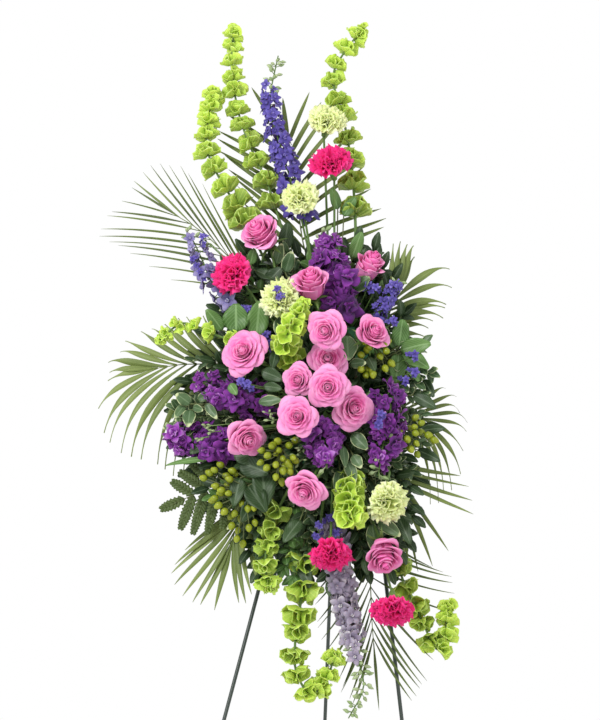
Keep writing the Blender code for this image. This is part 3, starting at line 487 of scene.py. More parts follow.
def grow_rose(body, placing, radius, openness, tall, count):
    """A spiral of petals. Openness spreads it and tall draws out its base, both 1 in full bloom."""
    for k in range(count):
        t = k / (count - 1)
        azimuth = k * GOLDEN + rng.uniform(-0.14, 0.14)
        wrap = radians(150 - 98 * t ** 0.5)
        reach = radius * (0.035 + 0.95 * openness * t ** 1.15) * rng.uniform(0.93, 1.07)
        lift = 0.34 + 1.1 * (1 - openness) * (1 - t)
        top = radius * (lift - 0.06 * t - 0.46 * t * t * openness + rng.uniform(-0.035, 0.035))
        flare = radians(-26 + 120 * t ** 0.85 * (1.7 * openness - 0.7))
        belly = 0.08 * radius + (0.66 + 1.2 * (1 - openness)) * reach
        throat = radius * (0.34 + 0.14 * t)
        low = Vector((0.05 * radius, ROSE_BASE * radius * tall))
        out_low = Vector((belly, (-0.60 + 0.12 * t) * radius * tall))
        rim = Vector((reach, top))
        out_high = rim - Vector((sin(flare), cos(flare))) * throat
        curl = radius * (0.03 + 0.11 * t) * smooth(t * 2)
        wave = rng.uniform(0, 6)
        twist = rng.uniform(0.03, 0.08)
        point = radius * rng.uniform(0.07, 0.17) * smooth(t * 1.5)

        def place(u, v):
            h = v * (1 - 0.22 * abs(u) ** 2.6)
            g = 1 - h
            spot = low * g ** 3 + out_low * 3 * h * g * g + out_high * 3 * h * h * g + rim * h ** 3
            lip = smooth((h - 0.70) / 0.30)
            out = spot.x + point * lip * (1 - abs(u)) ** 1.5 - 0.06 * reach * u * u * lip
            up = spot.y - curl * lip * lip * (0.55 + 0.9 * u * u)
            out += 0.022 * radius * sin(4 * u + wave) * lip * (0.3 + t)
            up += 0.026 * radius * sin(6 * u + 2 * wave) * lip * (0.5 + t)
            out *= 1 + twist * u
            angle = azimuth + u * wrap * (0.82 + 0.18 * v)
            return placing @ Vector((out * cos(angle), out * sin(angle), up))

        # The tone rises from the heart outward, so the inner petals are painted deeper, partly as painted
        # shade in the heart.
        sheet(body, 9, 7, place, tone=0.02 + 0.88 * t ** 0.8 + rng.uniform(-0.05, 0.05))


def grow_hip(body, placing, radius, base):
    """The green hip at the base of a bloom."""
    hip = [placing @ Vector((0, 0, base + z * radius)) for z in (-0.30, -0.20, -0.08, 0.04)]
    stalk(body, hip, [0.09 * radius, 0.17 * radius, 0.19 * radius, 0.12 * radius], 8, 0.6)


def grow_sepals(body, placing, radius, base):
    """Five narrow sepals that curl off the hip."""
    axis = placing.to_3x3() @ Vector((0, 0, 1))
    for k in range(5):
        angle = 2 * pi * k / 5 + rng.uniform(-0.2, 0.2)
        outward = placing.to_3x3() @ Vector((cos(angle), sin(angle), 0))
        root = placing @ Vector((0.10 * radius * cos(angle), 0.10 * radius * sin(angle),
                                 base - 0.04 * radius))
        petal(body, root, axis, outward, radius, 0.26 * radius, (radians(60), radians(135)),
              lambda v: (1 - v) ** 0.7 + 0.04, cells=(2, 5), tone=0.6)


# %% [markdown]
# Fourteen roses stand in the spray. Those in the middle face the viewer wide open, and those at
# the rim are seen from the side, so they are grown tighter. Their stems follow the same line as
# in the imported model: out of the foam, on past a bend where one is needed, and into the bloom.

# %% The roses
# place of the rim, the way it faces, radius, bend in the stem, openness
ROSES = [
    ((-142, 112, 1484), (-3, 4, 4), 35, (-104, 92, 1390), 0.76),
    ((-55, 175, 1404), (-1, 4, 5), 31, None, 0.68),
    ((46, 112, 1432), (3, 3, 5), 27, None, 0.60),
    ((50, 168, 1316), (3, 5, 3), 31, None, 0.84),
    ((-32, 228, 1317), (-2, 5, -1), 34, None, 1.0),
    ((-167, 172, 1284), (-2, 5, 2), 38, None, 1.0),
    ((-27, 165, 1272), (0, 5, 1), 33, None, 0.95),
    ((-77, 196, 1236), (-2, 5, 0), 27, None, 0.92),
    ((-27, 230, 1224), (0, 6, 0), 34, None, 1.0),
    ((-77, 232, 1176), (-1, 5, 0), 34, None, 1.0),
    ((17, 180, 1190), (2, 5, 0), 37, None, 1.0),
    ((-158, 165, 1138), (2, 5, -2), 33, None, 0.90),
    ((-66, 185, 1052), (-2, 5, -3), 35, None, 0.93),
    ((67, 148, 940), (1, 4, -4), 34, None, 0.72),
]
FULL = 1.04                      # outermost petals against the solid's radius


def bloom_place(place, way):
    """A bloom's rim, the way it faces, and both as one placing with a spin of its own."""
    rim = at(place)
    facing = Vector((way[0], -way[1], way[2])).normalized()
    return rim, facing, Matrix.Translation(rim) @ turned(facing, rng.uniform(0, 6))


def bloom_stem(stems, rim, facing, depth, via, thick, fine):
    """The stem from the foam into the base of a bloom."""
    below = rim - facing * (depth + 14) * MM
    first = at(via) if via else below
    entry, heading = foam_entry(first)
    mouth = entry + heading * 5 * MM
    bend = first if via else mouth.lerp(below, 0.5) + heading * 0.10 * (below - mouth).length
    route = Route([entry - heading * HOLE_DEPTH * MM, mouth, bend, below, rim - facing * depth * 0.8 * MM])
    stem(stems, route, 14, thick, thick - fine, 8, 0.35)


rose_stems = new_body()
rose_leaves = new_body()
for k, (place, way, radius, via, openness) in enumerate(ROSES):
    rim, facing, placing = bloom_place(place, way)
    body = new_body()
    spread = openness ** 0.5
    size = radius * FULL * MM / (0.035 + 0.95 * spread)
    tall = 1 + 3.0 * (1 - spread)
    grow_rose(body, placing, size, spread, tall, round(38 * openness ** 1.5))
    name = f"rose_{k + 1:02d}"
    finish_piece(f"{name}_bloom", body, rose_skin, PETAL, [name])
    bloom_stem(rose_stems, rim, facing, 0.8 * radius, via, 2.6, 2.2)
    grow_hip(rose_stems, placing, radius * MM, ROSE_BASE * size * tall)
    grow_sepals(rose_leaves, placing, radius * MM, ROSE_BASE * size * tall)
finish_piece("rose_stems", rose_stems, stem_skin)
finish_piece("rose_sepals", rose_leaves, stem_skin, PETAL)
print("roses", len(ROSES))

# %% [markdown]
# A carnation is a dome of fans. Each petal is narrow at its base, wide and waved at its edge, and
# cut into small teeth there. The inner ones stand up and crowd together, the outer ones lie flat
# or hang, and a long green calyx holds them all.

# %% The carnations
# kind, place of the rim, the way it faces, radius, bend in the stem
CARNATIONS = [
    ("pink", (-23, 105, 1600), (-1, 3, 4), 35, None),
    ("pink", (-188, 128, 1412), (-3, 4, 2), 34, (-124, 106, 1340)),
    ("pink", (-22, 150, 946), (0, 3, -4), 35, None),
    ("pink", (79, 130, 855), (0, 3, -4), 36, None),
    ("green", (-26, 92, 1670), (1, 3, 4), 32, None),
    ("green", (-74, 120, 1540), (-1, 4, 3), 32, None),
    ("green", (-107, 155, 1374), (-2, 4, 2), 34, None),
    ("green", (73, 150, 1034), (2, 4, -1), 35, (75, 125, 1085)),
]


def grow_carnation(body, placing, radius, count):
    axis = placing.to_3x3() @ Vector((0, 0, 1))
    for k in range(count):
        t = (k + 0.5) / count
        angle = k * GOLDEN + rng.uniform(-0.2, 0.2)
        outward = placing.to_3x3() @ Vector((cos(angle), sin(angle), 0))
        base = placing @ Vector((0, 0, -0.42 * radius)) + outward * 0.10 * radius
        out = radians(8 + 96 * t ** 0.75 + rng.uniform(-10, 10))
        length = radius * (0.84 + 0.24 * t + rng.uniform(-0.07, 0.07))
        # The tone is lower on the inner petals, so they are painted deeper, partly as painted shade in the
        # crowded middle.
        petal(body, base, axis, outward, length, radius * rng.uniform(0.95, 1.25),
              (out * 0.35, out * 1.25), lambda v: 0.10 + 0.90 * v ** 1.2, cup=rng.uniform(-0.1, 0.15),
              ruffle=radius * rng.uniform(0.15, 0.24), waves=rng.uniform(2.0, 3.0),
              phase=rng.uniform(0, 6), notch=0.04, cells=(13, 5),
              tone=rng.uniform(0.05, 0.85) * (0.45 + 0.55 * t))


carnation_stems = new_body()
for k, (kind, place, way, radius, via) in enumerate(CARNATIONS):
    rim, facing, placing = bloom_place(place, way)
    body = new_body()
    grow_carnation(body, placing, radius * MM, 36)
    name = f"carnation_{k + 1}_{kind}"
    skin = pink_skin if kind == "pink" else green_skin
    finish_piece(f"{name}_bloom", body, skin, PETAL, [name])
    bloom_stem(carnation_stems, rim, facing, 0.65 * radius, via, 2.4, 1.9)
    cup = [placing @ Vector((0, 0, z * radius * MM)) for z in (-1.20, -1.12, -0.80, -0.48, -0.34)]
    stalk(carnation_stems, cup, [width * radius * MM for width in (0.06, 0.14, 0.18, 0.21, 0.25)], 10, 0.7)
finish_piece("carnation_stems", carnation_stems, stem_skin)
print("carnations", len(CARNATIONS))

# %% [markdown]
# Bells of Ireland carry rings of green cups round a square stem. A cup is a short funnel with a
# wavy rim. It is drawn once as a circle that is extruded ring by ring, in three kinds with three,
# four and five waves, and those are then set again and again up the stem.

# %% One cup of the bells
def station_list(route, start, sizes, pitch):
    """Distances along a stem for its flowers, and the size of each. Pitch is (fixed, per size)."""
    stations = []
    distance = start * MM
    while distance < route.length - 3 * MM:
        share = (distance - start * MM) / max(route.length - start * MM, MM)
        size = sizes[0] + (sizes[1] - sizes[0]) * share
        stations.append((distance, size, share))
        distance += (pitch[0] * (1 - 0.5 * share) + pitch[1] * size) * MM
    return stations


def cup_mesh(lobes):
    """A funnel cup with its base at the origin, opening toward +Z, one unit wide at its rim."""
    body = new_body()
    layer = body.verts.layers.float_vector[GROWTH]
    rings = [(0.12, 0.0), (0.40, 0.12), (0.60, 0.36), (0.76, 0.62), (0.90, 0.86), (1.00, 1.02)]
    made = bmesh.ops.create_circle(body, cap_ends=True, segments=15, radius=rings[0][0])["verts"]
    edges = list({edge for vert in made for edge in vert.link_edges})
    for k, (radius, height) in enumerate(rings[1:], 1):
        fresh, edges = next_ring(body, edges)
        for vert in fresh:
            angle = atan2(vert.co.y, vert.co.x)
            lobe = 1 + 0.12 * sin(lobes * angle) * (k / 5) ** 2
            vert.co = Vector((radius * lobe * cos(angle), radius * lobe * sin(angle),
                              height + 0.15 * cos(lobes * angle + 1) * (k / 5) ** 3))
            # Along rises up the cup, so the ramp paints each funnel darker toward its base, partly as
            # painted shade inside it.
            vert[layer] = (cos(7 * angle), k / 5, 0.5)
    for face in body.faces:
        face.smooth = True
    return as_mesh("one_cup", body)


def set_copy(body, mesh, placing, tone):
    """Set one copy of a small mesh into a body."""
    layer = body.verts.layers.float_vector[GROWTH]
    before = len(body.verts)
    body.from_mesh(mesh)
    body.verts.ensure_lookup_table()
    fresh = body.verts[before:]
    bmesh.ops.transform(body, verts=fresh, matrix=placing)
    for vert in fresh:
        vert[layer] = (vert[layer][0], vert[layer][1], tone)


def spoke(heading, angle):
    """The direction across a stem at an angle from its front."""
    first = (FORWARD - heading * FORWARD.dot(heading)).normalized()
    return first * cos(angle) + heading.cross(first) * sin(angle)


cups = [cup_mesh(3), cup_mesh(4), cup_mesh(5)]
print("faces in a cup", len(cups[0].polygons))

# %% [markdown]
# Nine stems carry the bells. Some stand straight up at the top, and some hang below and turn up
# again at their ends. The rings of cups come closer together toward the tip and grow smaller and
# brighter, and the last three are hardly open.

# %% The spikes of bells
# places, start, sizes, tone at the base and at the tip, pitch
BELLS = [
    ([(-88, 50, 1440), (-123, 48, 1552), (-153, 45, 1619), (-173, 42, 1673),
      (-184, 40, 1731), (-186, 38, 1773), (-183, 36, 1822)], 225, (20, 10), (0.10, 1.0), (26, 0.70)),
    ([(-112, 60, 1400), (-172, 55, 1515), (-205, 55, 1568), (-227, 55, 1618),
      (-226, 52, 1664), (-216, 50, 1714)], 205, (22, 12), (0.20, 1.0), (20, 0.88)),
    ([(18, 48, 1452), (18, 46, 1527), (12, 44, 1603), (-2, 42, 1678),
      (-18, 40, 1740), (4, 40, 1786), (34, 40, 1822)], 205, (18, 13), (0.10, 1.0), (34, 0.55)),
    ([(-136, 92, 1290), (-188, 112, 1302), (-229, 118, 1317), (-264, 118, 1330),
      (-294, 115, 1312), (-304, 112, 1299)], 130, (12, 8), (0.75, 0.9), (28, 0.5)),
    ([(-80, 120, 1262), (-98, 165, 1295), (-82, 205, 1330), (-66, 212, 1362)], 60, (19, 13),
     (0.80, 1.0), (18, 0.65)),
    ([(2, 110, 1091), (8, 140, 1053), (10, 168, 1008)], 55, (20, 18), (0.75, 1.0), (11, 0.4)),
    ([(-81, 75, 1072), (-111, 95, 1018), (-127, 102, 964), (-129, 100, 923),
      (-122, 96, 889)], 95, (16, 14), (0.15, 0.75), (24, 0.65)),
    ([(-43, 62, 1036), (-63, 80, 955), (-69, 82, 889), (-76, 80, 839), (-81, 78, 797),
      (-78, 76, 752), (-53, 76, 719), (-26, 78, 752), (-15, 80, 787)], 165, (22, 13), (0.35, 0.8),
     (27, 0.72)),
    ([(66, 58, 1003), (95, 48, 912), (113, 46, 871), (133, 45, 829), (152, 46, 790),
      (167, 48, 812), (170, 50, 863)], 175, (20, 12), (0.2, 1.0), (24, 0.70)),
]
bell_stems = new_body()
for k, (places, start, sizes, tones, pitch) in enumerate(BELLS):
    route = stem_route([at(place) for place in places])
    stem(bell_stems, route, 40, 3.0, 1.3, 6, 0.6)
    body = new_body()
    stations = station_list(route, HOLE_DEPTH + start, sizes, pitch)
    stations += [(route.length - left * MM, 0.45 * sizes[1], 1.0) for left in (13, 8, 3)]
    for ring, (distance, size, share) in enumerate(stations):
        distance += rng.uniform(-3, 1) * MM
        hub = route.point(distance)
        heading = route.heading(distance)
        count = 6 if size > 12 else 5
        size *= rng.uniform(0.88, 1.12)
        for j in range(count):
            angle = 2 * pi * (j + 0.5 * (ring % 2)) / count + rng.uniform(-0.3, 0.3)
            side = spoke(heading, angle)
            facing = (side * rng.uniform(0.8, 1.1) + heading * rng.uniform(0.45, 1.05)).normalized()
            grown = (3 + size * rng.uniform(0.54, 0.72)) * MM
            base = hub + side * 2.5 * MM + heading * rng.uniform(-5, 5) * MM
            shape = Matrix.Diagonal((grown * rng.uniform(0.85, 1.05), grown,
                                     grown * rng.uniform(1.15, 1.4), 1))
            placing = Matrix.Translation(base) @ turned(facing, rng.uniform(0, 6)) @ shape
            # The tone rises from base to tip of the spike: the top cups are painted brighter, partly painted
            # light, and the lower cups darker, partly painted shade.
            tone = tones[0] + (tones[1] - tones[0]) * share + rng.uniform(-0.2, 0.2)
            set_copy(body, rng.choice(cups), placing, clamp(tone, 1.0))
    name = f"bells_of_ireland_{k + 1}"
    finish_piece(f"{name}_cups", body, bell_skin, PETAL, [name])
finish_piece("bell_stems", bell_stems, stem_skin)
print("bells", len(BELLS))

# %% [markdown]
# Larkspur and stock are spikes too. A larkspur floret is flat, with five round sepals and a pale
# eye, and the top of its spike stays in green bud. A stock floret is double and crumpled, set so
# close that the spike reads as one ruffled mass.

# %% The larkspur and the stock
# places, where the flowers begin, sizes, skin, share of the spike in bud, pitch, flowers in a ring, fullness
LARKSPUR = [
    ([(-52, 66, 1420), (-72, 66, 1510), (-88, 66, 1568), (-104, 62, 1621),
      (-119, 58, 1671), (-122, 54, 1709), (-116, 52, 1743), (-109, 50, 1776)], 200, (16, 8), "deep", 0.2,
     (9, 0.55), 4, 1.3),
    ([(-136, 75, 1319), (-192, 92, 1371), (-218, 92, 1398), (-233, 88, 1431),
      (-250, 82, 1467), (-261, 80, 1482)], 155, (14, 9), "lilac", 0.12, (12, 0.6), 3, 1.35),
    ([(-18, 75, 1029), (-15, 95, 964), (-2, 88, 889), (10, 84, 830),
      (22, 82, 780), (32, 80, 730), (7, 78, 680)], 110, (15, 9), "grey", 0.38, (8, 0.55), 5, 1.45),
    ([(30, 92, 1290), (58, 118, 1348), (79, 118, 1381), (92, 112, 1401)], 70, (10, 8), "deep", 0.1,
     (8, 0.6), 4, 1.25),
]
STOCK = [
    ([(-7, 112, 1330), (-12, 122, 1387), (-20, 120, 1425), (-36, 112, 1480)], 60, (18, 11)),
    ([(-89, 82, 1211), (-151, 108, 1203), (-201, 112, 1216), (-244, 108, 1236)], 80, (18, 11)),
    ([(-106, 62, 1149), (-188, 88, 1133), (-246, 95, 1135), (-293, 92, 1154)], 150, (17, 11)),
    ([(48, 105, 1215), (76, 130, 1198), (66, 140, 1140), (56, 135, 1078)], 45, (17, 11)),
    ([(-30, 130, 1140), (-33, 170, 1134), (-28, 182, 1090)], 50, (16, 11)),
]


def round_petal(v):
    return 0.22 + 0.78 * sin(pi * min(0.15 + 0.72 * v, 1)) ** 0.8


def grow_floret(body, base, facing, size, rows, tone=0.5):
    """Rows of petals round a flower: (count, reach, width, bend in, bend out, ruffle, paler by)."""
    turn = turned(facing, rng.uniform(0, 6)).to_3x3()
    for count, reach, width, low, high, ruffle, paler in rows:
        shift = rng.uniform(0, 6)
        for j in range(count):
            angle = shift + 2 * pi * j / count + rng.uniform(-0.12, 0.12)
            outward = turn @ Vector((cos(angle), sin(angle), 0))
            petal(body, base, facing, outward, reach * size, width * size,
                  (radians(low + rng.uniform(-8, 8)), radians(high + rng.uniform(-12, 12))),
                  round_petal, cup=rng.uniform(-0.05, 0.12), ruffle=ruffle * size, phase=rng.uniform(0, 6),
                  cells=(3, 3), tone=tone + paler + rng.uniform(-0.18, 0.18))


LARKSPUR_ROWS = [(5, 1.0, 0.70, 50, 98, 0.10, 0.0), (3, 0.38, 0.30, 10, 35, 0.02, 0.45)]
STOCK_ROWS = [(5, 1.0, 0.80, 45, 104, 0.26, 0.0), (4, 0.66, 0.62, 15, 62, 0.24, 0.12),
              (2, 0.30, 0.26, 5, 30, 0.08, 0.6)]


spike_stems = new_body()
buds = new_body()


def grow_spike(body, places, start, sizes, pitch, rows, per_ring, full, bud_share, loose):
    """Florets in rings up a stem, then buds. Loose is how unevenly they stand, from 0 to 1."""
    route = stem_route([at(place) for place in places])
    stem(spike_stems, route, 30, 2.4, 1.3, 6, 0.4)
    for ring, (distance, size, share) in enumerate(station_list(route, HOLE_DEPTH + start, sizes, pitch)):
        heading = route.heading(distance)
        hub = route.point(distance)
        for j in range(per_ring):
            angle = 2 * pi * j / per_ring + ring * 2.4 + rng.uniform(-0.3, 0.3) * (1 + 2 * loose)
            side = spoke(heading, angle)
            facing = (side + heading * rng.uniform(0.0, 0.6) + FORWARD * 0.4).normalized()
            foot = hub + heading * rng.uniform(-5, 5) * (1 + loose) * MM
            if share > 1 - bud_share * rng.uniform(0.7, 1.3):
                if j < 3:
                    grow_bud(foot, facing, size * 0.82 * MM)
                continue
            base = foot + side * full * rng.uniform(0.5 - 0.2 * loose, 0.85 + 0.45 * loose) * size * MM
            stalk(spike_stems, [foot, foot.lerp(base, 0.6), base], [0.7 * MM] * 3, 4, 0.5)
            grown = full * size * MM * rng.uniform(0.62 - 0.1 * loose, 1.05 + 0.2 * loose)
            grow_floret(body, base, facing, grown, rows, 0.22 + 0.40 * share + rng.uniform(-0.25, 0.25))


def grow_bud(foot, facing, size):
    """A closed bud on a short stalk."""
    stalk(buds, [foot + facing * size * far for far in (0, 0.9, 1.3, 1.8, 2.3)],
          [size * wide for wide in (0.10, 0.12, 0.42, 0.34, 0.06)], 6, rng.uniform(0.6, 1.0))


larkspur_tints = {"deep": larkspur_skin, "lilac": lilac_skin, "grey": grey_skin}
for k, (places, start, sizes, tint, in_bud, pitch, per_ring, full) in enumerate(LARKSPUR):
    body = new_body()
    grow_spike(body, places, start, sizes, pitch, LARKSPUR_ROWS, per_ring, full, in_bud, 0.2)
    name = f"larkspur_{k + 1}"
    finish_piece(f"{name}_florets", body, larkspur_tints[tint], PETAL, [name])
for k, (places, start, sizes) in enumerate(STOCK):
    body = new_body()
    grow_spike(body, places, start, sizes, (9, 0.60), STOCK_ROWS, 5, 1.4, 0.12, 0.8)
    name = f"stock_{k + 1}"
    finish_piece(f"{name}_florets", body, stock_skin, PETAL, [name])
print("spikes", len(LARKSPUR) + len(STOCK))

# %% [markdown]
# Two small things fill the gaps between the blooms: tufts of pale buds, and loose larkspur flowers
# on side shoots. Each stands on a thin stem of its own that comes straight out of the foam.

# %% Pale buds and loose flowers
# column, row and forward of small pale buds that stand between the blooms
PALE_BUDS = [(208, 426, 118), (212, 432, 118), (200, 438, 114), (268, 413, 172), (272, 420, 170),
             (183, 418, 104), (298, 440, 168), (301, 448, 166), (296, 455, 164), (300, 461, 160),
             (210, 243, 92), (352, 500, 140), (362, 492, 138)]
for column, row, forward in PALE_BUDS:
    goal = seen(column, row, forward)
    route = stem_route([goal])
    stem(buds, route, 6, 0.9, 0.0, 5, 0.2)
    heading = route.heading(route.length)
    for j in range(4):
        way = (heading + Vector([rng.uniform(-0.9, 0.9) for _ in range(3)])).normalized()
        grow_bud(goal - heading * 3 * j * MM, way, rng.uniform(4.5, 6.5) * MM)
# column and row of loose larkspur flowers, and how far forward they stand
LOOSE = [(394, 288, 120), (375, 291, 116), (383, 309, 124), (392, 323, 124), (367, 289, 110),
         (412, 357, 118), (412, 373, 116), (403, 381, 112), (281, 299, 165), (278, 292, 160),
         (268, 337, 140), (270, 345, 138), (243, 383, 190), (249, 386, 190), (380, 415, 175),
         (378, 424, 172), (250, 312, 110), (205, 240, 96), (196, 262, 98), (203, 275, 98),
         (321, 523, 120), (332, 515, 118), (318, 534, 112), (336, 530, 112), (246, 311, 108)]
loose = new_body()
for column, row, forward in LOOSE:
    goal = seen(column, row, forward)
    route = stem_route([goal])
    stem(spike_stems, route, 8, 0.9, 0.0, 5, 0.4)
    heading = route.heading(route.length)
    for j in range(4):
        angle = 2 * pi * j / 4 + rng.uniform(-0.4, 0.4)
        facing = (spoke(heading, angle) + heading * 0.5 + FORWARD * 0.8).normalized()
        base = goal + facing * 6 * MM + heading * (6 - 4 * j) * MM
        stalk(spike_stems, [goal - heading * 5 * MM, goal.lerp(base, 0.5), base], [0.6 * MM] * 3, 4, 0.5)
        grow_floret(loose, base, facing, rng.uniform(6.5, 9) * MM, LARKSPUR_ROWS[:1], rng.uniform(0.3, 0.7))
finish_piece("larkspur_side_shoots", loose, larkspur_skin, PETAL, ())
finish_piece("spike_stems", spike_stems, stem_skin)
finish_piece("spike_buds", buds, bud_skin)
print("pale buds", len(PALE_BUDS), "loose flowers", len(LOOSE))

# %% [markdown]
# Hypericum is grown for its berries: smooth green fruits the size of a pea on forked stalks, each
# with a tiny collar of sepals below and a fine point on top. Each berry hangs on the twig that
# passes nearest to it.

# %% The hypericum berries
# places of the twig, how far forward its berries stand, and each berry's column and row
BERRIES = [
    ([(-89, 62, 1111), (-147, 102, 1063), (-185, 112, 1030)], 118,
     [(215, 470), (204, 478), (233, 471), (230, 479), (216, 486), (222, 490), (229, 493), (215, 498),
      (219, 505), (248, 508), (254, 507), (225, 511), (235, 513), (232, 525), (249, 527), (237, 538)]),
    ([(-66, 110, 1137), (-104, 160, 1119), (-108, 168, 1080)], 176,
     [(272, 446), (279, 450), (268, 455), (276, 464), (267, 467), (276, 476), (289, 445), (293, 457),
      (289, 465), (290, 471), (283, 458), (283, 470)]),
    ([(55, 72, 1172), (92, 112, 1156), (121, 120, 1152)], 128,
     [(414, 427), (421, 423), (428, 435), (415, 433), (407, 439), (416, 443), (391, 439), (411, 449),
      (400, 430)]),
    ([(30, 108, 1272), (48, 130, 1290), (68, 140, 1288)], 150,
     [(365, 342), (369, 347), (361, 355), (381, 337), (384, 345), (386, 351), (361, 369), (373, 374),
      (385, 368), (366, 375)]),
]


def berry_mesh():
    """A pointed round berry, one unit in radius, with its stalk end at the origin below it."""
    body = new_body()
    layer = body.verts.layers.float_vector[GROWTH]
    bmesh.ops.create_uvsphere(body, u_segments=12, v_segments=8, radius=1)
    for vert in body.verts:
        if vert.co.z > 0.9:
            vert.co.z += 0.22
        vert.co.z = vert.co.z * 1.08 + 1.05
        # Along runs from the stalk end to the tip, so each berry is painted darker at its stalk end, a
        # painted shade.
        vert[layer] = (0, vert.co.z / 2.3, 0.5)
    for face in body.faces:
        face.smooth = True
    return as_mesh("one_berry", body)


berry = berry_mesh()
berry_twigs = new_body()
berry_sepals = new_body()
for k, (places, forward, spots) in enumerate(BERRIES):
    route = stem_route([at(place) for place in places])
    stem(berry_twigs, route, 14, 2.2, 1.0)
    body = new_body()
    doubled = spots + [(column + rng.choice((-6, 6)), row + rng.choice((-5, 5))) for column, row in spots]
    for index, (column, row) in enumerate(doubled):
        back = 0 if index < len(spots) else 12
        centre = seen(column, row, forward - back + rng.uniform(-8, 8))
        near = min(range(16, 95), key=lambda j: (route.point(route.length * j / 100) - centre).length)
        joint = route.point(route.length * max(near - 14, 12) / 100)
        away = (centre - joint).normalized()
        size = rng.uniform(5.2, 6.6) * MM
        base = centre - away * size
        bend = joint.lerp(base, 0.5) + route.heading(route.length * near / 100) * 4 * MM
        stalk(berry_twigs, [joint, bend, base], [1.0 * MM, 0.8 * MM, 0.9 * MM], 6, 0.5)
        placing = Matrix.Translation(base) @ turned(away) @ Matrix.Scale(size, 4)
        set_copy(body, berry, placing, rng.uniform(0.2, 0.8))
        for j in range(5):
            angle = 2 * pi * j / 5 + rng.uniform(-0.2, 0.2)
            outward = turned(away).to_3x3() @ Vector((cos(angle), sin(angle), 0))
            petal(berry_sepals, base, away, outward, 0.95 * size, 0.5 * size, (radians(75), radians(45)),
                  round_petal, cells=(1, 2), tone=0.5)
    name = f"hypericum_{k + 1}"
    finish_piece(f"{name}_berries", body, berry_skin, 0.0, [name])
finish_piece("hypericum_twigs", berry_twigs, wood_skin)
finish_piece("hypericum_sepals", berry_sepals, stem_skin, PETAL)
print("berries", sum(len(spots) for _, _, spots in BERRIES))

# %% [markdown]
# A palm frond is a rib with long narrow leaflets down both sides. Each leaflet is folded along
# its middle like a paper dart, tapers to a thread and, on some fronds, arches over at its tip.
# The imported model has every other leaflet, so the tips of the rest are read between its own.

# %% The palm fronds
# places of the rib, where the leaflets begin, tips at the left and right, bow, length of the last
PALMS = [
    ([(-24, 45, 1345), (-64, 20, 1450), (-76, 10, 1525), (-88, 6, 1590), (-94, 4, 1640)], 125,
     [(-165, 6, 1530), (-182, 6, 1556), (-184, 4, 1576), (-196, 4, 1598), (-210, 4, 1622),
      (-209, 2, 1640), (-208, 2, 1664), (-155, 2, 1722)],
     [(64, 14, 1487), (73, 12, 1505), (59, 10, 1522), (38, 8, 1584), (34, 6, 1602), (4, 6, 1640),
      (-14, 4, 1680), (-38, 4, 1696), (-54, 2, 1709)], 0.08, 66),
    ([(-89, 50, 1319), (-164, 34, 1411), (-231, 26, 1478), (-286, 22, 1514)], 90,
     [(-290, 34, 1398), (-350, 30, 1440), (-386, 26, 1462), (-408, 24, 1480), (-392, 22, 1508),
      (-368, 20, 1536)],
     [(-236, 30, 1560), (-268, 28, 1586), (-300, 24, 1598), (-326, 20, 1592), (-348, 18, 1572)],
     0.10, 80),
    ([(-89, 50, 1222), (-181, 40, 1256), (-256, 36, 1262), (-318, 34, 1254)], 95,
     [(-262, 52, 1104), (-284, 50, 1098), (-305, 46, 1108), (-328, 44, 1118), (-352, 42, 1128),
      (-376, 40, 1144), (-394, 36, 1166), (-402, 34, 1194)],
     [(-236, 34, 1352), (-262, 32, 1350), (-288, 30, 1346), (-316, 28, 1336), (-342, 28, 1322),
      (-366, 28, 1304), (-384, 28, 1284), (-392, 30, 1258)], 0.25, 74),
    ([(-100, 46, 1084), (-140, 40, 1045), (-173, 38, 1005), (-186, 36, 962)], 70,
     [(-120, 46, 922), (-137, 46, 901), (-152, 44, 882), (-178, 42, 868)],
     [(-262, 38, 966), (-278, 38, 942), (-290, 36, 916), (-266, 36, 884), (-238, 36, 866)],
     0.16, 106),
    ([(16, 46, 1060), (32, 40, 1005), (42, 38, 927), (46, 40, 840), (49, 42, 800)], 90,
     [(150, 46, 930), (170, 44, 914), (180, 42, 896), (190, 42, 876), (144, 42, 750), (132, 40, 736),
      (124, 40, 720), (114, 40, 708)],
     [(-50, 44, 880), (-48, 42, 850), (-44, 42, 820), (-38, 40, 790), (-20, 40, 750), (-6, 40, 732),
      (2, 40, 718), (14, 40, 706)], 0.10, 112),
    ([(58, 50, 1262), (66, 44, 1302), (74, 38, 1340), (88, 34, 1376)], 62,
     [(58, 38, 1420), (76, 36, 1474), (100, 34, 1487), (112, 32, 1474)],
     [(132, 42, 1316), (145, 40, 1334), (160, 38, 1350), (168, 36, 1364), (174, 34, 1386),
      (178, 34, 1436)], 0.12, 84),
    ([(50, 50, 1177), (78, 44, 1186), (104, 40, 1182), (128, 38, 1172)], 48,
     [(150, 32, 1246), (176, 32, 1236), (192, 32, 1220), (204, 34, 1200), (203, 38, 1170)],
     [(140, 44, 1066), (160, 42, 1074), (176, 42, 1084), (190, 42, 1104)], 0.22, 76),
    ([(52, 50, 1122), (70, 46, 1100), (82, 42, 1080), (94, 38, 1064)], 36,
     [(196, 40, 1084), (208, 38, 1052), (214, 38, 1012)],
     [(88, 44, 935), (108, 44, 925), (130, 42, 922), (170, 40, 956)], 0.08, 80),
]


def between(points, share):
    """A point at a share of the way along a row of points."""
    spot = share * (len(points) - 1)
    k = min(int(spot), len(points) - 2)
    return points[k].lerp(points[k + 1], spot - k)


def swell(v):
    """How a leaflet widens from its narrow foot."""
    return 0.26 + 0.74 * smooth(v / 0.42)


def dart(v):
    """A leaflet that narrows evenly to a point."""
    return swell(v) * (1 - v ** 2.4) ** 0.9 + 0.04


def strap(v):
    """A leaflet with even sides and a blunt point."""
    return (0.45 + 0.55 * smooth(v / 0.2)) * (1 - v ** 4) ** 0.8 + 0.04


def whip(v):
    """A leaflet that ends in a long thread."""
    return swell(v) * (1 - 0.86 * smooth((v - 0.50) / 0.42))


